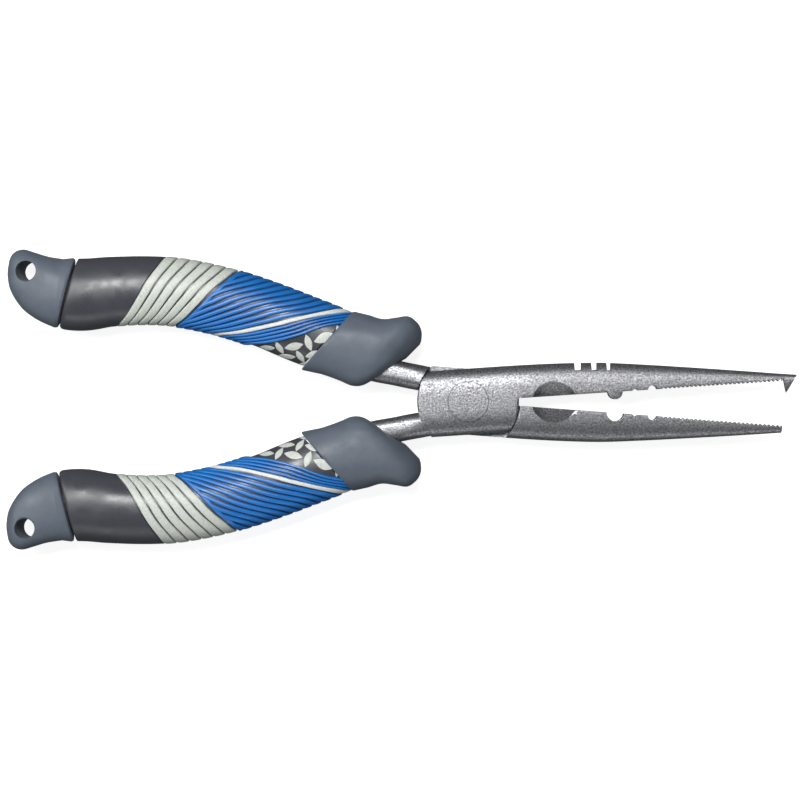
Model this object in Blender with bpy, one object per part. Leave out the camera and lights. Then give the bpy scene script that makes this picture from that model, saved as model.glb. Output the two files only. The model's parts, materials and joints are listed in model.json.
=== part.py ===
"""Long-nose fishing pliers, about 229 mm long: two forged steel halves that cross in a lap joint, turn on
one rivet and carry moulded grips.  Blender 4.5, metres, +Z up.

Each half is drawn in its own closed frame: the pivot is the Z axis, the jaw points along +X and lies on the
+Y side, its handle runs back along -X on the -Y side, and the lap plane is z = 0.  The second half is the
same blank turned over about X.  Two empties on the pivot then open the halves to the rest angle.
"""

import math

import bmesh
import bpy
from mathutils import Vector

MM = 0.001

# Joint
REST_OPENING = math.radians(8.0)  # between the jaw faces at rest
JOINT_RADIUS = 14.7 * MM  # round ends of the lapped boss
JOINT_THICKNESS = 11.0 * MM  # both lapped halves together
JOINT_HALF_WIDTH = 9.6 * MM  # from the pivot to the boss's long edges
LAP_GAP = 0.9 * MM  # between the lapped faces, where the shim sits
SHOULDER_GAP = 0.3 * MM  # round the boss, to the other half's shoulders
RIVET_RADIUS = 3.0 * MM
RIVET_HEAD_RADIUS = 5.9 * MM
RIVET_HEAD_THICKNESS = 2.0 * MM
RIVET_GAP = 0.15 * MM
SHIM_RADIUS = 8.0 * MM
SHIM_THICKNESS = 0.4 * MM

# Jaws
JAW_REACH = 91.3 * MM  # pivot to the end of the plain jaw
TIP_HALF_WIDTH = 2.2 * MM
TIP_HALF_THICKNESS = 1.8 * MM
FACE_GAP = 0.06 * MM  # each jaw face stands this far back from the closed centre line
HOOK_LENGTH = 4.2 * MM  # split-ring hook, beyond the plain jaw
HOOK_DROP = 3.3 * MM
HOOK_ROOT = 0.6 * MM
TOOTH_PITCH = 1.25 * MM
TOOTH_DEPTH = 0.55 * MM
TOOTHED_LENGTH = 35.0 * MM
CUTTER_X = 25.0 * MM  # pivot to the middle of the side cutter
CUTTER_RADIUS = 6.7 * MM
CUTTER_RISE = 3.9 * MM  # height of the cutter's relief over the jaw face
CUTTER_EDGE = 0.35 * MM  # half the width of the cutting land
CUTTER_SLOPE = 0.75  # rise of the relief's floor towards the flanks
LUG_X = 42.7 * MM  # crimping lug on one jaw, its notch in the other
LUG_RADIUS = 2.1 * MM
LUG_LEVEL = 0.05 * MM  # its middle, over the closed face
LUG_CLEARANCE = 0.4 * MM
SLEEVE_NOTCH_X = 53.5 * MM
SLEEVE_NOTCH_RADIUS = 1.3 * MM
LINE_NOTCH_X = 48.5 * MM
LINE_NOTCH_RADIUS = 0.7 * MM
WIRE_SLOTS = ((32.4 * MM, 2.0 * MM), (37.1 * MM, 1.6 * MM), (41.3 * MM, 1.2 * MM))  # middle, width
WIRE_SLOT_DEPTH = 2.1 * MM

# Handles: distances run back from the pivot
GRIP_FRONT = 38.4 * MM  # outer corner where the thumb guard meets the sleeve
GRIP_RAKE = 6.2 * MM  # how much further back the inner corner lies
SLEEVE_LENGTH = 78.0 * MM  # along the outer side
CAP_RAKE = 2.2 * MM
CAP_LENGTH = 19.4 * MM
HANDLE_REACH = GRIP_FRONT + SLEEVE_LENGTH + CAP_LENGTH
HANDLE_SPREAD = 25.4 * MM  # furthest that the handle's middle line swings out
GRIP_WIDTH = 20.0 * MM
GRIP_THICKNESS = 16.6 * MM
SLEEVE_WALL = 2.9 * MM
MOULDING_GAP = 0.3 * MM  # between pieces of one handle
TANG_WIDTH = 7.4 * MM
CORE_WALL = 0.6 * MM  # least wall of the core, beside the tang
TANG_THICKNESS = 5.0 * MM  # inside the grip
TANG_GAP = 0.4 * MM  # between the tang and what is moulded on it
TANG_END_GAP = 4.0 * MM  # short of the sleeve's rear end
SPIGOT_LENGTH = 6.0 * MM  # of the core, inside the tail cap
GUARD_THICKNESS = 18.6 * MM
GUARD_LIP = 0.7 * MM  # the guard stands proud of the sleeve
CAP_THICKNESS = 15.6 * MM
LANYARD_HOLE_RADIUS = 2.9 * MM
LANYARD_HOLE_SETBACK = 6.5 * MM  # from the tail's end to the hole's middle
LANYARD_HOLE_OFFSET = 5.7 * MM  # outwards from the grip's middle line

# Raised bands on the sleeve: distances back from the grip's front, on the outer and the inner side
BAND_DEPTH = 1.2 * MM
BAND_GAP = 0.45 * MM  # under the bands
BAND_RISE = 0.25 * MM
GLOW_BANDS = 6
GLOW_GROOVE = 0.6 * MM
GLOW_REAR = (51.8 * MM, 66.2 * MM)
GLOW_FRONT = (32.6 * MM, 47.6 * MM)
STRIPE = (3.1 * MM, 35.0 * MM)
STRIPE_WIDTH = 1.5 * MM
WRAP_FRONT = (-3.9 * MM, 25.0 * MM)
SLANT = ((0.0, 0.0), (0.07, 0.03), (0.25, 0.14), (0.43, 0.35), (0.58, 0.56))
SLANT += ((0.77, 0.8), (0.87, 0.92), (1.0, 1.0))
PANEL_MARGIN = 0.8 * MM  # of sleeve left in front of the wrap

# Thumb guard's sections, rear to front. Each has an inner and an outer corner, and a height. A corner is its
# distance back, a share of the grip's front, and its distance out, a share of the grip's width.
GUARD_SHAPE = (
    (1.125, -0.52, 0.79, 0.64, 1.0),
    (0.98, -0.49, 0.69, 0.675, 1.0),
    (0.885, -0.475, 0.586, 0.77, 1.0),
    (0.807, -0.40, 0.495, 0.84, 0.97),
    (0.73, -0.25, 0.424, 0.78, 0.87),
    (0.638, -0.05, 0.39, 0.68, 0.66),
    (0.547, 0.13, 0.385, 0.555, 0.4),
    (0.49, 0.23, 0.393, 0.48, 0.2),
)
# Tail cap's sections, front to rear: shares of the cap's length and of the grip's width, and a height
CAP_SHAPE = (
    (0.263, -0.495, 0.186, 0.50, 1.0),
    (0.418, -0.445, 0.418, 0.52, 1.0),
    (0.572, -0.375, 0.624, 0.565, 1.0),
    (0.727, -0.275, 0.778, 0.595, 1.0),
    (0.856, -0.135, 0.897, 0.56, 0.93),
    (0.948, 0.015, 0.969, 0.475, 0.72),
    (0.99, 0.165, 0.995, 0.34, 0.4),
)
MOULDED_POWER = 3.2  # squareness of their sections
FLAT_SHARE = 1.08  # how far their sections reach past the flat faces

RING = 20  # points round a lofted section
SPAN_STEPS = 8  # rings along a grip piece
ARC = 36  # points round a turned piece
HALF_THICKNESS = JOINT_THICKNESS / 2
JAW_TIP = JAW_REACH + HOOK_LENGTH
SLEEVE_REAR = GRIP_FRONT + SLEEVE_LENGTH


def curve_through(knots):
    """A smooth function through (position, value) knots, in rising order of position."""
    slopes = []
    for i in range(len(knots)):
        a, b = knots[max(i - 1, 0)], knots[min(i + 1, len(knots) - 1)]
        slopes.append((b[1] - a[1]) / (b[0] - a[0]))

    def value(x):
        x = min(max(x, knots[0][0]), knots[-1][0])
        i = max(k for k in range(len(knots) - 1) if knots[k][0] <= x)
        (x0, y0), (x1, y1) = knots[i], knots[i + 1]
        h = x1 - x0
        t = (x - x0) / h
        rise = (2 * t**3 - 3 * t**2 + 1) * y0 + (3 * t**2 - 2 * t**3) * y1
        return rise + h * ((t**3 - 2 * t**2 + t) * slopes[i] + (t**3 - t**2) * slopes[i + 1])

    return value


def scaled(knots, x_size, y_size):
    return [(x * x_size, y * y_size) for x, y in knots]


# Jaw outline: shares of the reach, and of the way from the tip's half size to the boss's
JAW_TAPER = ((-0.2, 1.0), (0.0, 1.0), (0.17, 1.0), (0.3, 0.97), (0.43, 0.89), (0.55, 0.73), (0.68, 0.53))
JAW_TAPER += ((0.81, 0.32), (0.93, 0.12), (1.0, 0.0), (1.06, -0.09))
FLANK_TAPER = ((-0.2, 1.0), (0.16, 1.0), (0.3, 0.84), (0.45, 0.66), (1.0, 0.0), (1.06, -0.03))
jaw_share = curve_through(scaled(JAW_TAPER, JAW_REACH, 1.0))
flank_share = curve_through(scaled(FLANK_TAPER, JAW_REACH, 1.0))
# Handle's middle line: shares of the reach and of the spread
HANDLE_LINE = ((0.0, 0.19), (0.059, 0.205), (0.107, 0.232), (0.147, 0.268), (0.191, 0.331), (0.25, 0.457))
HANDLE_LINE += ((0.309, 0.583), (0.368, 0.681), (0.442, 0.807), (0.515, 0.906), (0.582, 0.969), (0.648, 1.0))
HANDLE_LINE += ((0.714, 0.988), (0.781, 0.945), (0.832, 0.894), (0.869, 0.89), (0.94, 0.965), (1.0, 1.06))
handle_line = curve_through(scaled(HANDLE_LINE, HANDLE_REACH, HANDLE_SPREAD))
# Tang's drift inwards from the grip's middle line, as far as the core has room for it at the sleeve's front:
# shares of the distance to the grip's front, and of the drift itself
TANG_ROOM = GRIP_WIDTH / 2 - SLEEVE_WALL - MOULDING_GAP - CORE_WALL - TANG_GAP - TANG_WIDTH / 2
TANG_DRIFT = TANG_ROOM / 0.7
TANG_BEND = ((0.4, 0.0), (0.57, 0.15), (0.8, 0.75), (1.0, 1.0), (1.3, 0.75), (1.65, 0.25), (2.0, 0.0))
tang_drift = curve_through(scaled(TANG_BEND, GRIP_FRONT, TANG_DRIFT))
# Grip's swell: shares of the reach, and of the grip's width and thickness
GRIP_SWELL = ((0.0, 1.0), (0.37, 1.015), (0.45, 0.995), (0.65, 0.995), (0.74, 1.0), (0.79, 1.02))
GRIP_SWELL += ((0.84, 1.05), (1.0, 1.0))
grip_swell = curve_through(scaled(GRIP_SWELL, HANDLE_REACH, 1.0))


def jaw_half_width(x):
    return TIP_HALF_WIDTH + (JOINT_HALF_WIDTH - TIP_HALF_WIDTH) * jaw_share(x)


def jaw_half_thickness(x):
    return TIP_HALF_THICKNESS + (HALF_THICKNESS - TIP_HALF_THICKNESS) * min(1.0, flank_share(x))


def superellipse(angle, power):
    """A point of a rounded unit square; power 2 is a circle."""
    c, s = math.cos(angle), math.sin(angle)
    return (
        math.copysign(abs(c) ** (2 / power), c),
        math.copysign(abs(s) ** (2 / power), s),
    )


def ring_angles():
    return [2 * math.pi * (i + 0.5) / RING for i in range(RING)]


def handle_point(back, across, up):
    """A point of the handle: back from the pivot along its middle line, across it outwards, and up."""
    step = 0.1 * MM
    slope = (handle_line(back + step) - handle_line(back - step)) / (2 * step)
    outward = Vector((slope, -1, 0)).normalized()
    return Vector((-back, -handle_line(back), up)) + across * outward


def grip_point(back, angle, inset=0.0):
    """A point on the grip's oval skin; angle 0 is the outer side and pi the inner side."""
    c, s = superellipse(angle, 2.2)
    swell = grip_swell(back)
    across = (GRIP_WIDTH / 2 * swell - inset) * c
    return handle_point(back, across, (GRIP_THICKNESS / 2 * swell - inset) * s)


def tang_point(back, angle, grow=0.0):
    """A point on the steel tang, which thins from the joint into the grip."""
    c, s = superellipse(angle, 3.0)
    thin = min(max((back - JOINT_RADIUS) / (GRIP_FRONT + GRIP_RAKE - JOINT_RADIUS), 0), 1)
    thickness = JOINT_THICKNESS + (TANG_THICKNESS - JOINT_THICKNESS) * thin**0.7
    across = (TANG_WIDTH / 2 + grow) * c - tang_drift(back)
    return handle_point(back, across, (thickness / 2 + grow) * s)


class RakedPlane:
    """A flat cut across the handle, square to the XY plane, through an outer and an inner corner."""

    def __init__(self, outer_back, inner_back):
        self.outer = grip_point(outer_back, 0.0)
        self.inner = grip_point(inner_back, math.pi)
        along = (self.inner - self.outer).normalized()
        self.normal = Vector((-along.y, along.x, 0))
        if self.normal.x > 0:
            self.normal.negate()

    def station(self, point_at, shift=0.0):
        """The distance back at which point_at(back) lies on the plane, moved back by shift."""
        low, high = 0.0, HANDLE_REACH
        for _ in range(40):
            middle = (low + high) / 2
            if (point_at(middle) - self.outer).dot(self.normal) < shift:
                low = middle
            else:
                high = middle
        return low

    def ring(self, skin, shift=0.0, **offset):
        """The loop in which a skin, such as grip_point, meets the plane."""
        loop = []
        for angle in ring_angles():
            back = self.station(lambda b, a=angle: skin(b, a, **offset), shift)
            loop.append(skin(back, angle, **offset))
        return loop


GUARD_PLANE = RakedPlane(GRIP_FRONT, GRIP_FRONT + GRIP_RAKE)
CAP_PLANE = RakedPlane(SLEEVE_REAR, SLEEVE_REAR + CAP_RAKE)


slant = curve_through(SLANT)


def wave(angle):
    """0 on the outer side, 1 on the inner side, in a soft S between them, the same on both flanks."""
    return slant(1 - abs(angle % (2 * math.pi) - math.pi) / math.pi)


def band_back(edge, angle):
    """How far back a band's edge lies at an angle; edge holds its outer and inner distances."""
    return GRIP_FRONT + edge[0] + (edge[1] - edge[0]) * wave(angle)


def between(first, second, share):
    return tuple(a + (b - a) * share for a, b in zip(first, second))


def wrap_limit(angle, margin):
    """Front edge of the blue wrap: its own slanting edge, or just behind the thumb guard."""
    guard = GUARD_PLANE.station(lambda b: grip_point(b, angle), margin)
    return max(band_back(WRAP_FRONT, angle), guard)


def skin_ring(back_at, inset):
    return [grip_point(back_at(angle), angle, inset) for angle in ring_angles()]


def material(name, colour, roughness, metallic=0.0):
    made = bpy.data.materials.new(name)
    made.use_nodes = True
    shader = made.node_tree.nodes["Principled BSDF"]
    shader.inputs["Base Color"].default_value = (*colour, 1)
    shader.inputs["Roughness"].default_value = roughness
    shader.inputs["Metallic"].default_value = metallic
    return made


def add_object(name, bm, finish, parent):
    """Makes an object of the bmesh, with its faces pointing out."""
    bm.normal_update()
    bmesh.ops.recalc_face_normals(bm, faces=bm.faces)
    mesh = bpy.data.meshes.new(name)
    bm.to_mesh(mesh)
    bm.free()
    mesh.materials.append(finish)
    mesh.shade_smooth()
    mesh.set_sharp_from_angle(angle=math.radians(35))
    made = bpy.data.objects.new(name, mesh)
    bpy.context.scene.collection.objects.link(made)
    made.parent = parent
    return made


def loft(rings, tube=False):
    """A closed skin through rings of points: capped at both ends, or joined round when a tube."""
    bm = bmesh.new()
    loops = [[bm.verts.new(point) for point in ring] for ring in rings]
    pairs = list(zip(loops, loops[1:]))
    if tube:
        pairs.append((loops[-1], loops[0]))
    for first, second in pairs:
        for i in range(len(first)):
            j = (i + 1) % len(first)
            bm.faces.new((first[i], first[j], second[j], second[i]))
    if not tube:
        bm.faces.new(loops[0])
        bm.faces.new(list(reversed(loops[-1])))
    return bm


def prism(outline, low, high):
    """An outline in XY, raised from low to high."""
    bm = bmesh.new()
    base = bm.faces.new([bm.verts.new((x, y, low)) for x, y in outline])
    lifted = bmesh.ops.extrude_face_region(bm, geom=[base])["geom"]
    rise = [v for v in lifted if isinstance(v, bmesh.types.BMVert)]
    bmesh.ops.translate(bm, verts=rise, vec=(0, 0, high - low))
    return bm


def disc(radius, low, high, centre=(0.0, 0.0), points=ARC):
    """A round bar standing on z = low."""
    outline = []
    for i in range(points):
        turn = 2 * math.pi * i / points
        outline.append((centre[0] + radius * math.cos(turn), centre[1] + radius * math.sin(turn)))
    return prism(outline, low, high)


def helper(name, bm, parent):
    """A cutter or a piece to be joined, which isn't a part by itself."""
    made = add_object(name, bm, bpy.data.materials["steel"], parent)
    made.hide_render = True
    made.display_type = "WIRE"
    return made


def boolean(target, operation, tool):
    modifier = target.modifiers.new(f"{operation.lower()} {tool.name}", "BOOLEAN")
    modifier.operation = operation
    modifier.object = tool
    return modifier


def half_moon(outer, x_sign, y_low, y_high):
    """Outline of all that lies outside the boss's circle on one side, between two heights."""
    far = x_sign * (JAW_TIP + 20 * MM)
    outline = []
    steps = 16
    for i in range(steps + 1):
        y = y_low + (y_high - y_low) * i / steps
        outline.append((x_sign * math.sqrt(max(outer**2 - y**2, 0)), y))
    return outline + [(far, y_high), (far, y_low)]


def jaw_envelope(parent, name):
    """Both closed jaws and the joint as one rounded bar, from which each half is cut."""
    xs = [-22 * MM, -8 * MM, 6 * MM]
    rest = 11
    xs += [6 * MM + (JAW_REACH - 6 * MM) * i / rest for i in range(1, rest + 1)]
    rings = []
    for x in xs:
        share = min(max(jaw_share(x), 0), 1)
        power = 2.7 + 2.3 * max(0.0, share - 0.6) / 0.4
        ring = []
        for angle in ring_angles():
            c, s = superellipse(angle, power)
            lift = jaw_half_thickness(x) * max(-1.0, min(1.0, s * FLAT_SHARE))
            ring.append((x, jaw_half_width(x) * c, lift))
        rings.append(ring)
    return add_object(name, loft(rings), bpy.data.materials["steel"], parent)


def cutter_relief(side):
    """Half-moon relief beside the cutting edge; its floor climbs towards the back of the jaw."""
    centre = (CUTTER_X, CUTTER_RISE - CUTTER_RADIUS)
    top = HALF_THICKNESS + 2 * MM
    bm = disc(CUTTER_RADIUS, CUTTER_EDGE, top, centre, 40)
    for vertex in bm.verts:
        if vertex.co.z < (CUTTER_EDGE + top) / 2:
            vertex.co.z = CUTTER_EDGE + CUTTER_SLOPE * vertex.co.y
        vertex.co.z *= side
    return bm


def tooth_comb():
    """Profile of the notches between the teeth, from the plain jaw's tip back."""
    count = round(TOOTHED_LENGTH / TOOTH_PITCH)
    outline = [(JAW_REACH - count * TOOTH_PITCH, -1 * MM)]
    for i in range(count):
        x = JAW_REACH - (count - i) * TOOTH_PITCH
        outline.append((x, FACE_GAP - 0.02 * MM))
        outline.append((x + TOOTH_PITCH / 2, FACE_GAP + TOOTH_DEPTH))
    outline.append((JAW_REACH + 1 * MM, FACE_GAP + 0.3 * MM))
    outline.append((JAW_REACH + 1 * MM, -1 * MM))
    return prism(outline, -HALF_THICKNESS, HALF_THICKNESS)


def hook_outline():
    """Split-ring hook: a raked nose whose tooth drops past the other jaw's end."""
    root = JAW_REACH - 1.5 * MM
    heel = JAW_REACH + MOULDING_GAP
    return [
        (root, TOOTH_DEPTH + 0.3 * MM),
        (heel, TOOTH_DEPTH + 0.3 * MM),
        (heel + HOOK_ROOT, -HOOK_DROP),
        (JAW_TIP, jaw_half_width(JAW_TIP) - 0.02 * MM),
        (root, jaw_half_width(JAW_REACH) - 0.02 * MM),
    ]


def steel_half(name, parent, hooked):
    """One forged half: jaw, lapped boss and tang in a single piece."""
    half = jaw_envelope(parent, name)
    reach = HALF_THICKNESS + 3 * MM
    lap = LAP_GAP / 2
    wide = 2 * JOINT_RADIUS
    other_jaw = prism(half_moon(JOINT_RADIUS, 1, -wide / 2 + 0.1 * MM, FACE_GAP), -reach, reach)
    behind = prism(half_moon(JOINT_RADIUS, -1, -wide / 2 + 0.1 * MM, wide / 2 - 0.1 * MM), -reach, reach)
    lapped = disc(JOINT_RADIUS + SHOULDER_GAP, -reach, lap)
    boolean(half, "DIFFERENCE", helper(f"{name}.other_jaw", other_jaw, parent))
    boolean(half, "DIFFERENCE", helper(f"{name}.behind", behind, parent))

    tang_rings = []
    tang_start = JOINT_RADIUS - 5 * MM
    tang_end = SLEEVE_REAR - TANG_END_GAP
    for i in range(15):
        back = tang_start + (tang_end - tang_start) * i / 14
        tang_rings.append([tang_point(back, angle) for angle in ring_angles()])
    boolean(half, "UNION", helper(f"{name}.tang", loft(tang_rings), parent))
    boolean(half, "DIFFERENCE", helper(f"{name}.lapped", lapped, parent))

    bore = disc(RIVET_RADIUS + RIVET_GAP, -reach, reach)
    head_floor = HALF_THICKNESS - RIVET_HEAD_THICKNESS - RIVET_GAP
    seat = disc(RIVET_HEAD_RADIUS + RIVET_GAP, head_floor, reach)
    boolean(half, "DIFFERENCE", helper(f"{name}.bore", bore, parent))
    boolean(half, "DIFFERENCE", helper(f"{name}.head_seat", seat, parent))
    boolean(half, "DIFFERENCE", helper(f"{name}.teeth", tooth_comb(), parent))
    for side in (1, -1):
        boolean(half, "DIFFERENCE", helper(f"{name}.relief_{side}", cutter_relief(side), parent))
    for x, radius in ((SLEEVE_NOTCH_X, SLEEVE_NOTCH_RADIUS), (LINE_NOTCH_X, LINE_NOTCH_RADIUS)):
        notch = disc(radius, -reach, reach, (x, 0), 20)
        boolean(half, "DIFFERENCE", helper(f"{name}.notch_{round(radius / MM, 1)}", notch, parent))

    if hooked:
        nose = prism(hook_outline(), -TIP_HALF_THICKNESS + 0.15 * MM, TIP_HALF_THICKNESS - 0.15 * MM)
        boolean(half, "UNION", helper(f"{name}.hook", nose, parent))
        flank = jaw_half_thickness(LUG_X + LUG_RADIUS) - 0.3 * MM
        lug = disc(LUG_RADIUS, -flank, flank, (LUG_X, LUG_LEVEL), 24)
        boolean(half, "UNION", helper(f"{name}.lug", lug, parent))
        for i, (x, width) in enumerate(WIRE_SLOTS):
            floor = jaw_half_width(x) - WIRE_SLOT_DEPTH
            sides = ((x - width / 2, floor), (x + width / 2, floor))
            slot = prism(sides + tuple((x, y + 9 * MM) for x, y in reversed(sides)), -reach, reach)
            boolean(half, "DIFFERENCE", helper(f"{name}.wire_slot_{i}", slot, parent))
    else:
        notch = disc(LUG_RADIUS + LUG_CLEARANCE, -reach, reach, (LUG_X, -LUG_LEVEL), 24)
        boolean(half, "DIFFERENCE", helper(f"{name}.lug_notch", notch, parent))
    return half


def rivet(parent):
    """Solid rivet: a flush head in the upper half, its shank through both."""
    finish = bpy.data.materials["steel"]
    piece = add_object("pivot_rivet", disc(RIVET_RADIUS, -HALF_THICKNESS, HALF_THICKNESS), finish, parent)
    head = disc(RIVET_HEAD_RADIUS, HALF_THICKNESS - RIVET_HEAD_THICKNESS, HALF_THICKNESS)
    boolean(piece, "UNION", helper("pivot_rivet.head", head, parent))
    collar = disc(RIVET_HEAD_RADIUS, -HALF_THICKNESS, RIVET_HEAD_THICKNESS - HALF_THICKNESS)
    ring = add_object("rivet_collar", collar, finish, parent)
    hole = disc(RIVET_RADIUS + RIVET_GAP, -JOINT_THICKNESS, 0)
    boolean(ring, "DIFFERENCE", helper("rivet_collar.hole", hole, parent))
    washer = disc(SHIM_RADIUS, -SHIM_THICKNESS / 2, SHIM_THICKNESS / 2)
    shim = add_object("joint_shim", washer, bpy.data.materials["bronze"], parent)
    shim_hole = disc(RIVET_RADIUS + RIVET_GAP, -1 * MM, 1 * MM)
    boolean(shim, "DIFFERENCE", helper("joint_shim.hole", shim_hole, parent))


def handle_span(skin, steps, **offset):
    """Rings of a skin from the thumb guard's plane back to the tail cap's, clear of both."""
    fronts, rears = [], []
    for angle in ring_angles():
        fronts.append(GUARD_PLANE.station(lambda b, a=angle: skin(b, a, **offset), MOULDING_GAP))
        rears.append(CAP_PLANE.station(lambda b, a=angle: skin(b, a, **offset), -MOULDING_GAP))
    return rings_between(skin, fronts, rears, steps, **offset)


def rings_between(skin, starts, ends, steps, **offset):
    """Rings of a skin from one distance back to another, each given for every angle."""
    rings = []
    for i in range(steps + 1):
        ring = []
        for start, end, angle in zip(starts, ends, ring_angles()):
            ring.append(skin(start + (end - start) * i / steps, angle, **offset))
        rings.append(ring)
    return rings


def at_angles(back_at):
    return [back_at(angle) for angle in ring_angles()]


def grip_core(name, parent):
    """Rigid tube between the tang and the soft sleeve, with a spigot into the tail cap."""
    inset = SLEEVE_WALL + MOULDING_GAP
    rear = [SLEEVE_REAR + CAP_RAKE + SPIGOT_LENGTH] * RING
    skin = handle_span(grip_point, SPAN_STEPS, inset=inset)
    skin.append([grip_point(back, angle, inset) for back, angle in zip(rear, ring_angles())])
    fronts = []
    for angle in ring_angles():
        fronts.append(GUARD_PLANE.station(lambda b, a=angle: tang_point(b, a, TANG_GAP), MOULDING_GAP))
    bore = rings_between(tang_point, rear, fronts, SPAN_STEPS + 2, grow=TANG_GAP)
    return add_object(name, loft(skin + bore, tube=True), bpy.data.materials["core"], parent)


def grip_sleeve(name, parent):
    """Soft charcoal sleeve: a tube with a wide step for the bands."""
    rear = []
    for angle in ring_angles():
        rear.append(CAP_PLANE.station(lambda b, a=angle: grip_point(b, a), -MOULDING_GAP))
    step_rear = at_angles(lambda a: band_back(GLOW_REAR, a) + MOULDING_GAP)
    step_front = at_angles(lambda a: wrap_limit(a, PANEL_MARGIN))
    rings = rings_between(grip_point, rear, step_rear, 4)
    rings += rings_between(grip_point, step_rear, step_front, SPAN_STEPS + 2, inset=BAND_DEPTH)
    rings.append([grip_point(back, angle) for back, angle in zip(step_front, ring_angles())])
    rings.append(GUARD_PLANE.ring(grip_point, MOULDING_GAP))
    rings += handle_span(grip_point, SPAN_STEPS, inset=SLEEVE_WALL)
    return add_object(name, loft(rings, tube=True), bpy.data.materials["charcoal"], parent)


def band(name, rear, front, finish, parent, floor=BAND_DEPTH - BAND_GAP):
    """One raised band round the sleeve between two slanting edges."""
    rings = [
        skin_ring(lambda a: band_back(rear, a), floor),
        skin_ring(lambda a: band_back(rear, a), -BAND_RISE),
        skin_ring(lambda a: band_back(front, a), -BAND_RISE),
        skin_ring(lambda a: band_back(front, a), floor),
    ]
    return add_object(name, loft(rings, tube=True), bpy.data.materials[finish], parent)


def glow_bands(side, parent):
    for i in range(GLOW_BANDS):
        rear = between(GLOW_REAR, GLOW_FRONT, i / GLOW_BANDS)
        front = between(GLOW_REAR, GLOW_FRONT, (i + 1) / GLOW_BANDS)
        rear = tuple(d - GLOW_GROOVE / 2 for d in rear)
        front = tuple(d + GLOW_GROOVE / 2 for d in front)
        band(f"{side}_glow_band_{i + 1}", rear, front, "glow", parent)


def blue_wrap(name, parent):
    """Blue panel in front of the glow bands, with a shallow groove for the white stripe."""
    stripe_rear = tuple(d + STRIPE_WIDTH / 2 + MOULDING_GAP for d in STRIPE)
    stripe_front = tuple(d - STRIPE_WIDTH / 2 - MOULDING_GAP for d in STRIPE)
    floor = BAND_DEPTH - BAND_GAP
    groove = floor - MOULDING_GAP
    start = tuple(d - MOULDING_GAP for d in GLOW_FRONT)
    rings = [skin_ring(lambda a: band_back(start, a), floor)]
    steps = 5
    for i in range(steps + 1):
        edge = between(start, stripe_rear, i / steps)
        rings.append(skin_ring(lambda a, e=edge: band_back(e, a), -BAND_RISE))
    rings.append(skin_ring(lambda a: band_back(stripe_rear, a), groove))
    rings.append(skin_ring(lambda a: band_back(stripe_front, a), groove))
    rings.append(skin_ring(lambda a: band_back(stripe_front, a), -BAND_RISE))

    def front(angle):
        return wrap_limit(angle, PANEL_MARGIN + MOULDING_GAP) + MOULDING_GAP

    rings.append(skin_ring(front, -BAND_RISE))
    steps = 7
    for i in range(steps):
        ring = []
        for angle in ring_angles():
            back = front(angle) + (band_back(start, angle) - front(angle)) * i / steps
            ring.append(grip_point(back, angle, floor))
        rings.append(ring)
    return add_object(name, loft(rings, tube=True), bpy.data.materials["blue"], parent)


def moulded_ring(inner, outer, half_height):
    """A rounded section with flat faces, between two corners given as (distance back, out from the pivot)."""
    corner = Vector((-inner[0], -inner[1], 0))
    across = (Vector((-outer[0], -outer[1], 0)) - corner) / 2
    ring = []
    for angle in ring_angles():
        c, s = superellipse(angle, MOULDED_POWER)
        lift = half_height * max(-1.0, min(1.0, s * FLAT_SHARE))
        ring.append(corner + across + c * across + Vector((0, 0, lift)))
    return ring


def thumb_guard(name, parent):
    """Soft guard in front of the sleeve, with the tang through it."""
    rings = [GUARD_PLANE.ring(grip_point, inset=-GUARD_LIP)]
    for inner_back, inner_out, outer_back, outer_out, height in GUARD_SHAPE:
        corners = []
        for back, out in ((inner_back, inner_out), (outer_back, outer_out)):
            back *= GRIP_FRONT
            corners.append((back, handle_line(back) + out * GRIP_WIDTH))
        rings.append(moulded_ring(*corners, height * GUARD_THICKNESS / 2))
    guard = add_object(name, loft(rings), bpy.data.materials["guard_rubber"], parent)
    way = []
    start, end = JOINT_RADIUS / 2, GRIP_FRONT + GRIP_RAKE + GRIP_WIDTH / 2
    for i in range(SPAN_STEPS + 1):
        back = start + (end - start) * i / SPAN_STEPS
        way.append([tang_point(back, angle, TANG_GAP) for angle in ring_angles()])
    boolean(guard, "DIFFERENCE", helper(f"{name}.tang_way", loft(way), parent))
    return guard


def tail_cap(name, parent):
    """Soft cap over the handle's end, with the lanyard hole and a pocket for the core's spigot."""
    rings = [CAP_PLANE.ring(grip_point)]
    for inner_along, inner_out, outer_along, outer_out, height in CAP_SHAPE:
        corners = []
        for along, out in ((inner_along, inner_out), (outer_along, outer_out)):
            corners.append((SLEEVE_REAR + along * CAP_LENGTH, handle_line(SLEEVE_REAR) + out * GRIP_WIDTH))
        rings.append(moulded_ring(*corners, height * CAP_THICKNESS / 2))
    cap = add_object(name, loft(rings), bpy.data.materials["guard_rubber"], parent)
    pocket = []
    start, end = SLEEVE_REAR - GRIP_WIDTH / 2, SLEEVE_REAR + CAP_RAKE + SPIGOT_LENGTH + MOULDING_GAP
    for i in range(SPAN_STEPS + 1):
        back = start + (end - start) * i / SPAN_STEPS
        pocket.append([grip_point(back, angle, SLEEVE_WALL - MOULDING_GAP / 2) for angle in ring_angles()])
    boolean(cap, "DIFFERENCE", helper(f"{name}.pocket", loft(pocket), parent))
    centre = (LANYARD_HOLE_SETBACK - HANDLE_REACH, -handle_line(SLEEVE_REAR) - LANYARD_HOLE_OFFSET)
    hole = disc(LANYARD_HOLE_RADIUS, -CAP_THICKNESS, CAP_THICKNESS, centre)
    boolean(cap, "DIFFERENCE", helper(f"{name}.lanyard_hole", hole, parent))
    return cap


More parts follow.
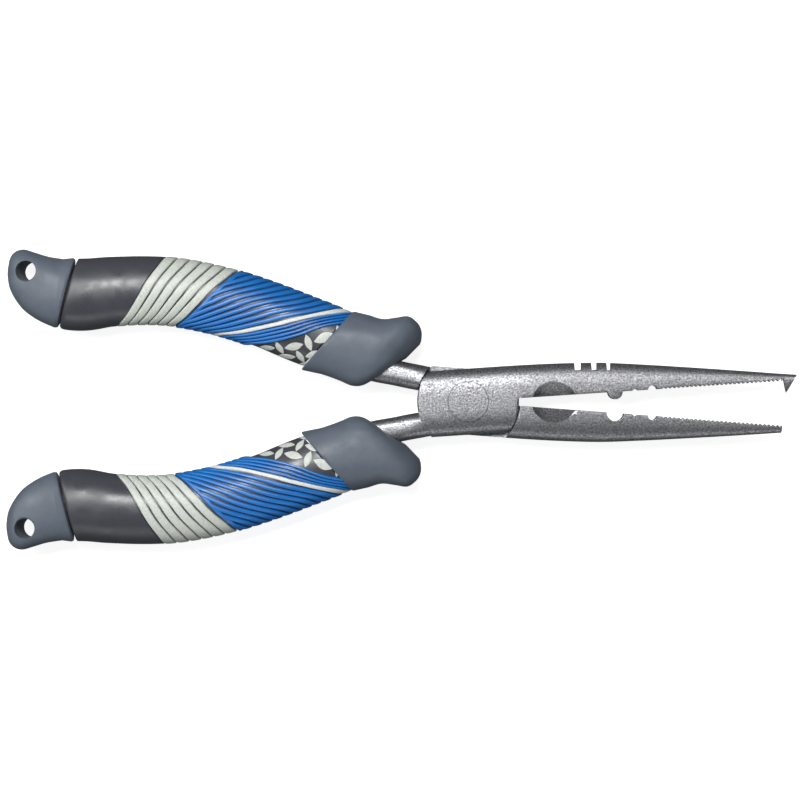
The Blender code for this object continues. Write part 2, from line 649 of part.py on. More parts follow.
def handle(side, parent):
    grip_core(f"{side}_grip_core", parent)
    grip_sleeve(f"{side}_grip_sleeve", parent)
    glow_bands(side, parent)
    blue_wrap(f"{side}_blue_wrap", parent)
    edge_rear = tuple(d + STRIPE_WIDTH / 2 for d in STRIPE)
    edge_front = tuple(d - STRIPE_WIDTH / 2 for d in STRIPE)
    stripe_floor = BAND_DEPTH - BAND_GAP - 2 * MOULDING_GAP
    band(f"{side}_white_stripe", edge_rear, edge_front, "white", parent, stripe_floor)
    thumb_guard(f"{side}_thumb_guard", parent)
    tail_cap(f"{side}_tail_cap", parent)


def pivot_frame(name, turned_over, opening):
    """An empty on the pivot that carries one half at its rest angle."""
    frame = bpy.data.objects.new(name, None)
    bpy.context.scene.collection.objects.link(frame)
    frame.location = (0, 0, HALF_THICKNESS)
    frame.rotation_euler = (math.pi if turned_over else 0.0, 0.0, opening)
    return frame


def main():
    for obj in list(bpy.data.objects):
        bpy.data.objects.remove(obj)
    material("steel", (0.33, 0.33, 0.345), 0.38, 0.9)
    material("bronze", (0.55, 0.38, 0.2), 0.4, 1.0)
    material("core", (0.05, 0.05, 0.055), 0.5)
    material("charcoal", (0.055, 0.06, 0.072), 0.45)
    material("guard_rubber", (0.155, 0.185, 0.225), 0.55)
    material("glow", (0.76, 0.82, 0.72), 0.5)
    material("blue", (0.012, 0.12, 0.5), 0.35)
    material("white", (0.85, 0.86, 0.84), 0.45)

    upper = pivot_frame("upper_jaw_side", False, REST_OPENING / 2)
    lower = pivot_frame("lower_jaw_side", True, -REST_OPENING / 2)
    steel_half("upper_jaw_half", upper, hooked=True)
    steel_half("lower_jaw_half", lower, hooked=False)
    rivet(upper)
    handle("lower", upper)
    handle("upper", lower)


main()
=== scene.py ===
"""Looks of a pair of long-nose fishing pliers: coated steel halves on one rivet, with banded grips.

Each half is shaped in its own closed frame, as if the jaws were shut: the pivot is the Z axis, the jaw
points along +X and lies on the +Y side, its handle runs back along -X on the -Y side, and the lap plane
is z = 0. Its finished mesh is then carried to the rest pose, where the frame holds the half.
"""

import json
import logging
import math
from dataclasses import dataclass, field
from enum import Enum
from itertools import product
from typing import Callable, Iterable, Sequence

import bmesh
import bpy
from bpy.types import Material, Mesh, Node, NodeSocket, Object
from mathutils import Matrix, Vector

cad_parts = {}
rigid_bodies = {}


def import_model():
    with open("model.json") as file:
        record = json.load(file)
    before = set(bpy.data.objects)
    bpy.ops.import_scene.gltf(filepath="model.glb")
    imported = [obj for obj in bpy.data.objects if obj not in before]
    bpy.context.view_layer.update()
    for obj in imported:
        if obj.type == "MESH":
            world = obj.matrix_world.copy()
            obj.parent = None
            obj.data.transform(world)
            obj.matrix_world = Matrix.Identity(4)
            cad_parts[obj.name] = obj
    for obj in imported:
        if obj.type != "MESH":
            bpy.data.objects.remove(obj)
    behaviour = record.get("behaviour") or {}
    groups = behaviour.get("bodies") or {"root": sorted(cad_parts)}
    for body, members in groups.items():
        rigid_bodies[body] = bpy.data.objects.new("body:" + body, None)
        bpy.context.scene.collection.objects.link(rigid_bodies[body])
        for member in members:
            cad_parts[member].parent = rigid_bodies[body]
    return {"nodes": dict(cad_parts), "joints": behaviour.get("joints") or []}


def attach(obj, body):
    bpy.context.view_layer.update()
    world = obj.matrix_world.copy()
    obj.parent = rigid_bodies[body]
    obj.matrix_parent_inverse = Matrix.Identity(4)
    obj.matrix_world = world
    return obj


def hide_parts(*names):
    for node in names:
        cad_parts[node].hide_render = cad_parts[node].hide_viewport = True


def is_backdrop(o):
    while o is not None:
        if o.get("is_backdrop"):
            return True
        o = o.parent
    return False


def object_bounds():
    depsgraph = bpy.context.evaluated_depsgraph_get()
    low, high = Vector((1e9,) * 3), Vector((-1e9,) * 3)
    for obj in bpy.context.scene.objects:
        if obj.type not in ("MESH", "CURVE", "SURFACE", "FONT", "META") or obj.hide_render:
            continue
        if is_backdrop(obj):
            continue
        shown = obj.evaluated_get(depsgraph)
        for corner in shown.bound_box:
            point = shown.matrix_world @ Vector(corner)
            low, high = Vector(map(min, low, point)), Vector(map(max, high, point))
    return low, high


MM = 0.001
Span = tuple[float, float]
Knots = tuple[Span, ...]
Row = tuple[float, float, float]
Place = Callable[[float, float], Vector]
Crown = Callable[[float, float], float]
Back = Callable[[float], float]
Sections = tuple[tuple[float, ...], ...]
FULL_TURN = 2 * math.pi

VIEW_MIDDLE: Span = (-19.7 * MM, 0.4 * MM)
FLOOR_GAP = 0.2 * MM

log = logging.getLogger("fishing_pliers")
MADE: dict[str, Material] = {}


# ---------------------------------------------------------------------------------------------------------
# Curves and sections
# ---------------------------------------------------------------------------------------------------------


@dataclass(frozen=True)
class SmoothCurve:
    """A smooth function through knots, given as shares of two sizes."""

    knots: Knots
    length: float = 1.0
    height: float = 1.0

    def __call__(self, at: float) -> float:
        """Reads the curve.

        Args:
            at: distance along the curve.

        Returns:
            The height there, held level past both ends.
        """
        at = min(max(at / self.length, self.knots[0][0]), self.knots[-1][0])
        i = max(k for k in range(len(self.knots) - 1) if self.knots[k][0] <= at)
        (x0, y0), (x1, y1) = self.knots[i], self.knots[i + 1]
        step = x1 - x0
        t = (at - x0) / step
        ends = (2 * t**3 - 3 * t**2 + 1) * y0 + (3 * t**2 - 2 * t**3) * y1
        bends = (t**3 - 2 * t**2 + t) * self._slope(i) + (t**3 - t**2) * self._slope(i + 1)
        return (ends + step * bends) * self.height

    def _slope(self, i: int) -> float:
        """The slope at one knot, taken between its neighbours."""
        a, b = self.knots[max(i - 1, 0)], self.knots[min(i + 1, len(self.knots) - 1)]
        return (b[1] - a[1]) / (b[0] - a[0])


def superellipse(angle: float, power: float) -> tuple[float, float]:
    """A point of a rounded unit square.

    Args:
        angle: where on the outline, in radians.
        power: squareness; 2 is a circle.

    Returns:
        The point's two coordinates.
    """
    c, s = math.cos(angle), math.sin(angle)
    return math.copysign(abs(c) ** (2 / power), c), math.copysign(abs(s) ** (2 / power), s)


def blend_step(low: float, high: float, at: float) -> float:
    """0 below low, 1 above high, and a smooth step between them."""
    t = min(max((at - low) / (high - low), 0.0), 1.0)
    return t * t * (3 - 2 * t)


def mixed(first: Sequence[float], second: Sequence[float], share: float) -> tuple[float, ...]:
    """The values that lie a share of the way from the first ones to the second."""
    return tuple(a + (b - a) * share for a, b in zip(first, second))


def even(start: float, end: float, count: int) -> list[float]:
    """Evenly spaced values from start to end, both included."""
    return [start + (end - start) * i / count for i in range(count + 1)]


def moved(span: Span, by: float) -> Span:
    """Both ends of a span, moved by the same distance."""
    return span[0] + by, span[1] + by


def ahead(back: Back, by: float) -> Back:
    """A ring's distance back, moved towards the front."""
    return lambda angle: back(angle) - by


def between(first: Back, second: Back, share: float) -> Back:
    """The distance back of a ring that lies a share of the way between two others."""
    return lambda angle: first(angle) + (second(angle) - first(angle)) * share


def quarter_round(radius: float, height: float, out: float, up: float, steps: int) -> list[Span]:
    """A rounded corner of a turned profile.

    Args:
        radius: radius where the corner begins, on the straight wall.
        height: height where it ends, on the flat.
        out: how far it turns outwards, negative for inwards.
        up: how far the wall's end lies above the flat, negative for below it.
        steps: faces on the corner.

    Returns:
        Its points, as radius and height.
    """
    turns = even(0.0, math.pi / 2, steps)
    return [(radius + out * (1 - math.cos(turn)), height + up * (1 - math.sin(turn))) for turn in turns]


# ---------------------------------------------------------------------------------------------------------
# Mesh work
# ---------------------------------------------------------------------------------------------------------


class Shell(Enum):
    """How a shaped grid is closed."""

    CAPPED = "a tube with a face over each end"
    RING = "a tube whose last row meets its first"


def faced_out(bm: bmesh.types.BMesh) -> bmesh.types.BMesh:
    """Points a closed solid's faces outwards.

    Args:
        bm: the solid.

    Returns:
        The same solid.
    """
    bm.normal_update()
    bmesh.ops.recalc_face_normals(bm, faces=bm.faces)
    return bm


def shaped_grid(columns: int, rows: int, place: Place, shell: Shell) -> bmesh.types.BMesh:
    """Wraps a grid into a closed skin.

    Args:
        columns: faces round the skin.
        rows: faces along it.
        place: gives the point for a share of the way round and a share of the way along.
        shell: how the skin closes.

    Returns:
        The skin, its seam merged and its faces pointing out.
    """
    bm = bmesh.new()
    bmesh.ops.create_grid(bm, x_segments=columns, y_segments=rows, size=1.0)
    for vertex in bm.verts:
        u, v = (vertex.co.x + 1) / 2, (vertex.co.y + 1) / 2
        vertex.co = place(round(u * columns) % columns / columns, round(v * rows) / rows)
    bmesh.ops.remove_doubles(bm, verts=bm.verts, dist=2e-6)
    bmesh.ops.dissolve_degenerate(bm, edges=bm.edges, dist=1e-6)
    if shell is Shell.CAPPED:
        bmesh.ops.holes_fill(bm, edges=bm.edges, sides=0)
    return faced_out(bm)


def turned(profile: Sequence[Span], start: float, sweep: float, steps: int) -> bmesh.types.BMesh:
    """Spins a closed profile about Z.

    Args:
        profile: the profile's corners, as radius and height.
        start: angle at which the spin begins.
        sweep: angle that it covers; a full turn is merged.
        steps: faces round the sweep.

    Returns:
        The closed solid.
    """
    bm = bmesh.new()
    bmesh.ops.create_circle(bm, cap_ends=True, radius=1.0, segments=len(profile))
    bm.verts.ensure_lookup_table()
    for vertex, (radius, height) in zip(bm.verts, profile):
        vertex.co = (radius, 0, height)
    bmesh.ops.rotate(bm, verts=bm.verts, cent=(0, 0, 0), matrix=Matrix.Rotation(start, 3, "Z"))
    full = math.isclose(sweep, FULL_TURN)
    first = list(bm.faces)
    bmesh.ops.spin(
        bm,
        geom=list(bm.verts) + list(bm.edges) + first,
        cent=(0, 0, 0),
        axis=(0, 0, 1),
        angle=sweep,
        steps=steps,
        use_merge=full,
    )
    if full:
        inner = [face for face in bm.faces if len(face.verts) == len(profile)]
        bmesh.ops.delete(bm, geom=inner, context="FACES_ONLY")
    bmesh.ops.remove_doubles(bm, verts=bm.verts, dist=1e-7)
    return faced_out(bm)


def scratch(name: str, bm: bmesh.types.BMesh) -> Object:
    """Puts a bmesh into a new object and frees it.

    Args:
        name: the object's name.
        bm: its shape.

    Returns:
        The object, linked to the scene.
    """
    mesh = bpy.data.meshes.new(name)
    bm.to_mesh(mesh)
    bm.free()
    made = bpy.data.objects.new(name, mesh)
    bpy.context.scene.collection.objects.link(made)
    return made


def gather(whole: bmesh.types.BMesh, part: bmesh.types.BMesh) -> None:
    """Adds a part to a moulding of several parts, and frees it.

    Args:
        whole: the moulding.
        part: the part.
    """
    mesh = bpy.data.meshes.new("part")
    part.to_mesh(mesh)
    part.free()
    whole.from_mesh(mesh)
    bpy.data.meshes.remove(mesh)


def carve(target: Object, operation: str, bm: bmesh.types.BMesh) -> None:
    """Joins or cuts a solid and applies the result.

    Args:
        target: the object that changes.
        operation: UNION or DIFFERENCE.
        bm: the other solid, in the target's own frame.
    """
    tool = scratch(f"{target.name}.tool", bm)
    modifier = target.modifiers.new(operation.lower(), "BOOLEAN")
    modifier.operation = operation
    modifier.solver = "EXACT"
    modifier.object = tool
    bpy.context.view_layer.update()
    evaluated = target.evaluated_get(bpy.context.evaluated_depsgraph_get())
    result = bpy.data.meshes.new_from_object(evaluated)
    target.modifiers.clear()
    spent = target.data
    target.data = result
    bpy.data.meshes.remove(spent)
    bpy.data.objects.remove(tool)


def smooth_shading(mesh: Mesh, sharp_over: float = 40.0) -> None:
    """Shades a mesh smooth, with creases where faces turn by more than an angle in degrees."""
    mesh.shade_smooth()
    mesh.set_sharp_from_angle(angle=math.radians(sharp_over))


# ---------------------------------------------------------------------------------------------------------
# Finishes
# ---------------------------------------------------------------------------------------------------------


NOISE_RANGE: Span = (0.35, 0.65)


@dataclass
class NodeBench:
    """A material's node tree, with short ways to add what the finishes use."""

    material: Material
    shader: Node = field(init=False)
    place: NodeSocket = field(init=False)

    def __post_init__(self) -> None:
        """Finds the tree's shader and adds Object coordinates."""
        self.material.use_nodes = True
        self.shader = self.material.node_tree.nodes["Principled BSDF"]
        self.place = self.add("ShaderNodeTexCoord").outputs["Object"]

    def add(self, kind: str, **settings: object) -> Node:
        """Adds a node and sets its properties.

        Args:
            kind: the node's type name.
            settings: its properties.

        Returns:
            The node.
        """
        node = self.material.node_tree.nodes.new(kind)
        for name, value in settings.items():
            setattr(node, name, value)
        return node

    def link(self, source: NodeSocket, target: NodeSocket) -> None:
        """Connects two sockets."""
        self.material.node_tree.links.new(source, target)

    def noise(self, scale: float, detail: float = 2.0, rough: float = 0.5) -> NodeSocket:
        """Adds noise over the object.

        Args:
            scale: waves per metre.
            detail: octaves.
            rough: strength of the finer octaves.

        Returns:
            The noise's value.
        """
        node = self.add("ShaderNodeTexNoise")
        node.inputs["Scale"].default_value = scale
        node.inputs["Detail"].default_value = detail
        node.inputs["Roughness"].default_value = rough
        self.link(self.place, node.inputs["Vector"])
        return node.outputs["Fac"]

    def ramp(self, value: NodeSocket, stops: Iterable[tuple[float, Sequence[float]]]) -> NodeSocket:
        """Colours a value.

        Args:
            value: what is coloured.
            stops: places on the ramp, each with its colour.

        Returns:
            The ramp's colour.
        """
        node = self.add("ShaderNodeValToRGB")
        elements = node.color_ramp.elements
        wanted = list(stops)
        while len(elements) < len(wanted):
            elements.new(0.5)
        for element, (at, colour) in zip(elements, wanted):
            element.position = at
            element.color = (*colour, 1)
        self.link(value, node.inputs["Fac"])
        return node.outputs["Color"]

    def spread(self, value: NodeSocket, source: Span, target: Span) -> NodeSocket:
        """Maps a value smoothly from one range to another, held at its ends.

        Args:
            value: what is mapped.
            source: the value's range.
            target: the range that it becomes.

        Returns:
            The mapped value.
        """
        node = self.add("ShaderNodeMapRange", interpolation_type="SMOOTHSTEP")
        for name, number in zip(("From Min", "From Max", "To Min", "To Max"), (*source, *target)):
            node.inputs[name].default_value = number
        self.link(value, node.inputs["Value"])
        return node.outputs["Result"]

    def bump(
        self, height: NodeSocket, distance: float, strength: float, under: NodeSocket | None = None
    ) -> NodeSocket:
        """Adds relief.

        Args:
            height: the relief's height, from 0 to 1.
            distance: its depth in metres.
            strength: how much of it shows.
            under: an earlier relief that this one adds to.

        Returns:
            The bent normal.
        """
        node = self.add("ShaderNodeBump")
        node.inputs["Distance"].default_value = distance
        node.inputs["Strength"].default_value = strength
        self.link(height, node.inputs["Height"])
        if under is not None:
            self.link(under, node.inputs["Normal"])
        return node.outputs["Normal"]

    def worn(self, colour: NodeSocket, rubbed: Sequence[float], edges: Span, amount: float) -> NodeSocket:
        """Lightens a colour along convex edges.

        Args:
            colour: the finish away from edges.
            rubbed: the colour of a rubbed edge.
            edges: pointiness at which the wear begins and is full.
            amount: most of the rubbed colour that is mixed in.

        Returns:
            The mixed colour.
        """
        pointy = self.add("ShaderNodeNewGeometry").outputs["Pointiness"]
        mix = self.add("ShaderNodeMix", data_type="RGBA")
        self.link(self.spread(pointy, edges, (0.0, amount)), mix.inputs["Factor"])
        self.link(colour, mix.inputs[6])
        mix.inputs[7].default_value = (*rubbed, 1)
        return mix.outputs[2]


@dataclass(frozen=True)
class Finish:
    """A procedural finish; each kind dresses the shader in its own way."""

    name: str
    slot: str
    colour: Row
    roughness: float

    def material(self) -> Material:
        """The finish's material, made on first use.

        Returns:
            The material.
        """
        if self.name not in MADE:
            MADE[self.name] = bpy.data.materials.new(self.name)
            bench = NodeBench(MADE[self.name])
            bench.shader.inputs["Roughness"].default_value = self.roughness
            self.dress(bench)
        return MADE[self.name]

    def dress(self, bench: NodeBench) -> None:
        """Sets the shader's inputs.

        Args:
            bench: the material's nodes.
        """
        raise NotImplementedError

    def shades(self, *factors: float) -> list[Row]:
        """The colour made darker or lighter by each factor."""
        return [tuple(min(channel * factor, 1.0) for channel in self.colour) for factor in factors]


@dataclass(frozen=True)
class CoatedSteel(Finish):
    """Silver-grey baked metallic coat with a fine fleck and an orange-peel skin."""

    fleck: float = 1900.0
    peel: float = 800.0
    metallic: float = 0.86
    fleck_shades: tuple[float, ...] = (0.40, 0.72, 1.0, 1.50)
    fleck_stops: tuple[float, ...] = (0.34, 0.45, 0.54, 0.66)
    rubbed: Row = (0.60, 0.60, 0.62)
    roughness_spread: Span = (0.46, 0.34)

    def dress(self, bench: NodeBench) -> None:
        """Lays light and dark fleck over the coat and puts fine relief on both.

        Args:
            bench: the material's nodes.
        """
        shader = bench.shader
        shader.inputs["Metallic"].default_value = self.metallic
        fleck = bench.noise(self.fleck, 3.0, 0.7)
        coat = bench.ramp(fleck, zip(self.fleck_stops, self.shades(*self.fleck_shades)))
        bench.link(bench.worn(coat, self.rubbed, (0.55, 0.66), 0.2), shader.inputs["Base Color"])
        bench.link(bench.spread(fleck, NOISE_RANGE, self.roughness_spread), shader.inputs["Roughness"])
        peel = bench.bump(bench.noise(self.peel, 2.0), 0.08 * MM, 0.35)
        bench.link(bench.bump(fleck, 0.08 * MM, 0.9, peel), shader.inputs["Normal"])


@dataclass(frozen=True)
class Rubber(Finish):
    """Moulded soft rubber with a fine grain and slight colour variation."""

    grain: float = 2600.0
    relief: float = 0.03 * MM
    sheen: float = 0.0
    gloss: float = 0.5
    mottle: float = 0.10
    wear: float = 0.4

    def dress(self, bench: NodeBench) -> None:
        """Mottles the colour a little and puts a fine grain on the surface.

        Args:
            bench: the material's nodes.
        """
        shader = bench.shader
        shader.inputs["Specular IOR Level"].default_value = self.gloss
        low, base, high = self.shades(1 - self.mottle, 1.0, 1 + self.mottle)
        mottle = bench.ramp(bench.noise(240.0, 4.0, 0.6), ((0.32, low), (0.5, base), (0.7, high)))
        rubbed = self.shades(1.5)[0]
        bench.link(bench.worn(mottle, rubbed, (0.53, 0.62), self.wear), shader.inputs["Base Color"])
        smears = bench.noise(170.0, 3.0, 0.55)
        matt = (self.roughness - 0.07, self.roughness + 0.08)
        bench.link(bench.spread(smears, NOISE_RANGE, matt), shader.inputs["Roughness"])
        shader.inputs["Sheen Weight"].default_value = self.sheen
        shader.inputs["Sheen Roughness"].default_value = 0.4
        waves = bench.bump(bench.noise(130.0, 2.0), 0.10 * MM, 0.12)
        grain = bench.noise(self.grain, 2.0, 0.6)
        bench.link(bench.bump(grain, self.relief, 0.5, waves), shader.inputs["Normal"])


@dataclass(frozen=True)
class GlowRubber(Finish):
    """Pale glow-in-the-dark rubber, a little translucent, with pigment fleck."""

    def dress(self, bench: NodeBench) -> None:
        """Scatters light under the skin and flecks the pigment.

        Args:
            bench: the material's nodes.
        """
        shader = bench.shader
        cool = tuple(channel * factor for channel, factor in zip(self.colour, (0.80, 0.86, 0.86)))
        pale = tuple(min(channel * factor, 1.0) for channel, factor in zip(self.colour, (1.08, 1.05, 1.02)))
        stops = ((0.34, cool), (0.5, self.colour), (0.66, pale))
        bench.link(bench.ramp(bench.noise(1500.0, 3.0, 0.7), stops), shader.inputs["Base Color"])
        shader.inputs["Subsurface Weight"].default_value = 0.15
        shader.inputs["Subsurface Radius"].default_value = (0.8, 1.0, 0.7)
        shader.inputs["Subsurface Scale"].default_value = 0.6 * MM
        bench.link(bench.bump(bench.noise(2200.0, 2.0), 0.03 * MM, 0.5), shader.inputs["Normal"])


@dataclass(frozen=True)
class TurnedBronze(Finish):
    """Plain bronze washer stock with fine turning marks."""

    def dress(self, bench: NodeBench) -> None:
        """Adds stain and turning marks to a metal.

        Args:
            bench: the material's nodes.
        """
        shader = bench.shader
        shader.inputs["Metallic"].default_value = 1.0
        dull, base = self.shades(0.7, 1.0)
        stain = bench.ramp(bench.noise(400.0, 4.0), ((0.35, dull), (0.65, base)))
        bench.link(stain, shader.inputs["Base Color"])
        bench.link(bench.bump(bench.noise(5000.0, 1.0), 0.01 * MM, 0.5), shader.inputs["Normal"])


STEEL = CoatedSteel("steel_fleck_coat", "coated_steel", (0.36, 0.36, 0.375), 0.40)
BRONZE = TurnedBronze("washer_bronze_turned", "bronze", (0.55, 0.38, 0.20), 0.40)
CORE = Rubber("core_moulding", "core_plastic", (0.05, 0.05, 0.055), 0.50)
CHARCOAL = Rubber(
    "charcoal_skin",
    "charcoal_rubber",
    (0.058, 0.062, 0.073),
    0.34,
    relief=0.02 * MM,
    gloss=0.7,
    mottle=0.03,
    wear=0.15,
)
GREY = Rubber("guard_skin", "grey_rubber", (0.118, 0.143, 0.178), 0.50, sheen=0.1, mottle=0.07)
GLOW = GlowRubber("glow_skin", "glow_rubber", (0.68, 0.715, 0.655), 0.42)
BLUE = Rubber(
    "blue_skin", "blue_rubber", (0.006, 0.180, 0.58), 0.40, relief=0.02 * MM, gloss=1.0, mottle=0.05
)
WHITE = GlowRubber("white_skin", "white_rubber", (0.86, 0.87, 0.85), 0.45)


# ---------------------------------------------------------------------------------------------------------
# Halves of the tool and their places
# ---------------------------------------------------------------------------------------------------------


@dataclass(frozen=True)
class HalfPlace:
    """Where one half lies at rest: the names that belong to it, and its frame."""

    jaw: str
    grip: str
    body: str
    carry: Matrix

    def finish_piece(
        self, name: str, source: Object | bmesh.types.BMesh, finish: Finish, *nodes: str
    ) -> Object:
        """Carries a shape to the rest pose, dresses it and lets it ride.

        Args:
            name: the finished piece's name.
            source: its shape in the half's closed frame.
            finish: what it is made of.
            nodes: the frame's nodes that it stands for.

        Returns:
            The finished piece.
        """
        piece = scratch(name, source) if isinstance(source, bmesh.types.BMesh) else source
        piece.name = name
        piece.data.name = name
        piece.data.transform(self.carry)
        piece.data.materials.clear()
        piece.data.materials.append(finish.material())
        smooth_shading(piece.data)
        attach(piece, self.body)
        if nodes:
            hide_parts(*nodes)
        log.info("%s: %d faces, rides on %s", name, len(piece.data.polygons), self.body)
        return piece


@dataclass(frozen=True)
class JointSizes:
    """Sizes of the lap joint."""

    radius: float = 14.7 * MM
    half_width: float = 9.6 * MM
    half_thickness: float = 5.5 * MM
    lap: float = 0.45 * MM
    shoulder_gap: float = 0.3 * MM
    rim: float = 0.6 * MM
    shoulder_rim: float = 0.3 * MM
    head_radius: float = 5.9 * MM
    head_depth: float = 2.0 * MM
    head_gap: float = 0.05 * MM
    shank_radius: float = 3.0 * MM


@dataclass
class SteelHalf:
    """One forging: jaw, lapped boss and tang."""

    place: HalfPlace
    joint: JointSizes
    grip: "GripForm"
    hooked: bool
    reach: float = 91.3 * MM
    tip_half_width: float = 2.2 * MM
    tip_half_thickness: float = 1.8 * MM
    face: float = 0.06 * MM
    edge_round: float = 0.22 * MM
    tooth_pitch: float = 1.25 * MM
    tooth_depth: float = 0.55 * MM
    tooth_count: int = 28
    hook_length: float = 4.2 * MM
    hook_drop: float = 3.3 * MM
    hook_root: float = 0.6 * MM
    hook_gap: float = 0.3 * MM
    lug: Span = (42.7 * MM, 2.1 * MM)
    lug_centre: float = 0.05 * MM
    lug_notch: float = 2.5 * MM
    notches: tuple[Row, ...] = ((48.5 * MM, 1.0 * MM, -0.45 * MM), (53.5 * MM, 1.3 * MM, 0.0))
    slots: tuple[Span, ...] = ((32.4 * MM, 2.0 * MM), (37.1 * MM, 1.6 * MM), (41.3 * MM, 1.2 * MM))
    slot_depth: float = 2.1 * MM
    cutter_x: float = 25.0 * MM
    cutter_radius: float = 6.7 * MM
    cutter_rise: float = 3.9 * MM
    cutter_edge: float = 0.35 * MM
    cutter_slope: float = 0.75
    bar_start: float = -22 * MM
    bar_end: float = 15.4 * MM
    throat: float = 15.6 * MM
    throat_radius: float = 22 * MM
    cutting_face: Span = (15.8 * MM, 39.8 * MM)
    plain_face: tuple[float, ...] = (46.2 * MM, 47.0 * MM, 50.6 * MM, 51.5 * MM, 55.6 * MM)
    clear: float = 8 * MM
    clear_round: float = 40 * MM
    back_part: float = 0.60
    corner_part: float = 0.06
    columns: int = 96

    def __post_init__(self) -> None:
        """Makes the outline curves."""
        taper = ((-0.2, 1.0), (0.0, 1.0), (0.17, 1.0), (0.3, 0.97), (0.43, 0.89), (0.55, 0.73))
        taper += ((0.68, 0.53), (0.81, 0.32), (0.93, 0.12), (1.0, 0.0), (1.06, -0.09))
        thin = ((-0.2, 1.0), (0.16, 1.0), (0.3, 0.84), (0.45, 0.66), (1.0, 0.0), (1.06, -0.03))
        self.width_share = SmoothCurve(taper, self.reach)
        self.thick_share = SmoothCurve(thin, self.reach)

    @property
    def tip(self) -> float:
        """End of this jaw, with its hook where it has one."""
        return self.reach + (self.hook_length if self.hooked else 0.0)

    def back(self, x: float) -> float:
        """The jaw's back edge, without its slots."""
        full = self.joint.half_width
        return self.tip_half_width + (full - self.tip_half_width) * self.width_share(x)

    def flank(self, x: float) -> float:
        """Half the jaw's thickness."""
        share = min(1.0, self.thick_share(x))
        return self.tip_half_thickness + (self.joint.half_thickness - self.tip_half_thickness) * share

    def closed_stations(self) -> list[Row]:
        """Stations of the closed bar behind the throat."""
        return [(x, self.back(x), -self.back(x)) for x in even(self.bar_start, self.bar_end, 38)]

    def round_stations(self, centre: float, radius: float, sign: float, level: float) -> list[Span]:
        """Stations over a half-round notch or lug in the jaw's face.

        Args:
            centre: its middle.
            radius: its radius.
            sign: 1 for a notch, -1 for a lug.
            level: height of the circle's centre.

        Returns:
            Places along the jaw, each with the face's height.
        """
        rise = (self.face - level) * sign
        reach = math.sqrt(max(radius**2 - rise**2, 0.0))
        rows = [(centre - reach - 0.01 * MM, self.face)]
        start = math.asin(max(min(rise / radius, 1.0), -1.0))
        for turn in even(math.pi - start, start, 18):
            rows.append((centre + radius * math.cos(turn), level + sign * radius * math.sin(turn)))
        rows.append((centre + reach + 0.01 * MM, self.face))
        return rows

    def tooth_stations(self) -> list[Span]:
        """Stations over the teeth, six to a tooth.

        Returns:
            Places along the jaw, each with the face's height.
        """
        rows = []
        start = self.reach - self.tooth_count * self.tooth_pitch
        shape = ((0.0, 0.0), (0.07, 0.05), (0.43, 0.95), (0.5, 1.0), (0.57, 0.95), (0.93, 0.05))
        for i in range(self.tooth_count):
            for along, depth in shape:
                rows.append((start + (i + along) * self.tooth_pitch, self.face + depth * self.tooth_depth))
        return rows

    def hook_stations(self) -> list[Span]:
        """Stations over the hook: down its heel, and up its slanting front.

        Returns:
            Places along the hook, each with its inner edge's height.
        """
        relief = self.tooth_depth + 0.3 * MM
        heel = self.reach + self.hook_gap
        point = heel + self.hook_root
        rows = [(self.reach - 0.1 * MM, relief), (heel, relief)]
        fall = relief + self.hook_drop
        rows += [(heel + self.hook_root * i / 3, relief - fall * i / 3) for i in (1, 2, 3)]
        top = self.back(self.tip) - 0.3 * MM
        for x in even(point, self.tip, 8)[1:]:
            rows.append((x, -self.hook_drop + (top + self.hook_drop) * (x - point) / (self.tip - point)))
        return rows

    def face_stations(self) -> list[Span]:
        """Stations of the jaw's face, from the throat to the tip, each with the face's height.

        Returns:
            The places and heights.
        """
        rows = [(x, self.face) for x in [*even(*self.cutting_face, 24), *self.plain_face]]
        if self.hooked:
            rows += self.round_stations(*self.lug, -1.0, self.lug_centre)
        else:
            rows += self.round_stations(self.lug[0], self.lug_notch, 1.0, -self.lug_centre)
        for centre, radius, level in self.notches:
            rows += self.round_stations(centre, radius, 1.0, level)
        rows = sorted(rows) + self.tooth_stations()
        if self.hooked:
            return rows + self.hook_stations()
        return rows + [(self.reach - 0.15 * MM, self.face + 0.1 * MM), (self.reach, self.face + 0.35 * MM)]

    def jaw_stations(self) -> list[Row]:
        """Stations of the jaw, each with its back edge, or a slot's floor, and its face.

        Returns:
            The rows of the loft.
        """
        made = [(x, self.back(x), inner) for x, inner in self.face_stations()]
        if not self.hooked:
            x, outer, inner = made[-1]
            return [*made[:-1], (x, outer - 0.35 * MM, inner)]
        hair = 1e-6
        for centre, width in self.slots:
            low, high = centre - width / 2, centre + width / 2
            floor = self.back(centre) - self.slot_depth
            for x, outside in ((low, low - hair), (high, high + hair)):
                before = [row for row in made if row[0] <= x][-1]
                after = [row for row in made if row[0] > x][0]
                face = before[2] + (after[2] - before[2]) * (x - before[0]) / (after[0] - before[0])
                made += [(outside, self.back(x), face), (x, floor, face)]
                made.sort()
            made = [(x, floor, face) if low <= x <= high else (x, outer, face) for x, outer, face in made]
        return made

    def crown(self, x: float, y: float) -> float:
        """Height of the barrel-shaped flank over the lap plane.

        Args:
            x: distance from the pivot towards the tip.
            y: distance to the side.

        Returns:
            The height.
        """
        share = min(abs(y) / self.back(x), 1.0)
        power = self.squareness(x)
        return self.flank(x) * (1 - share**power) ** (1 / power)

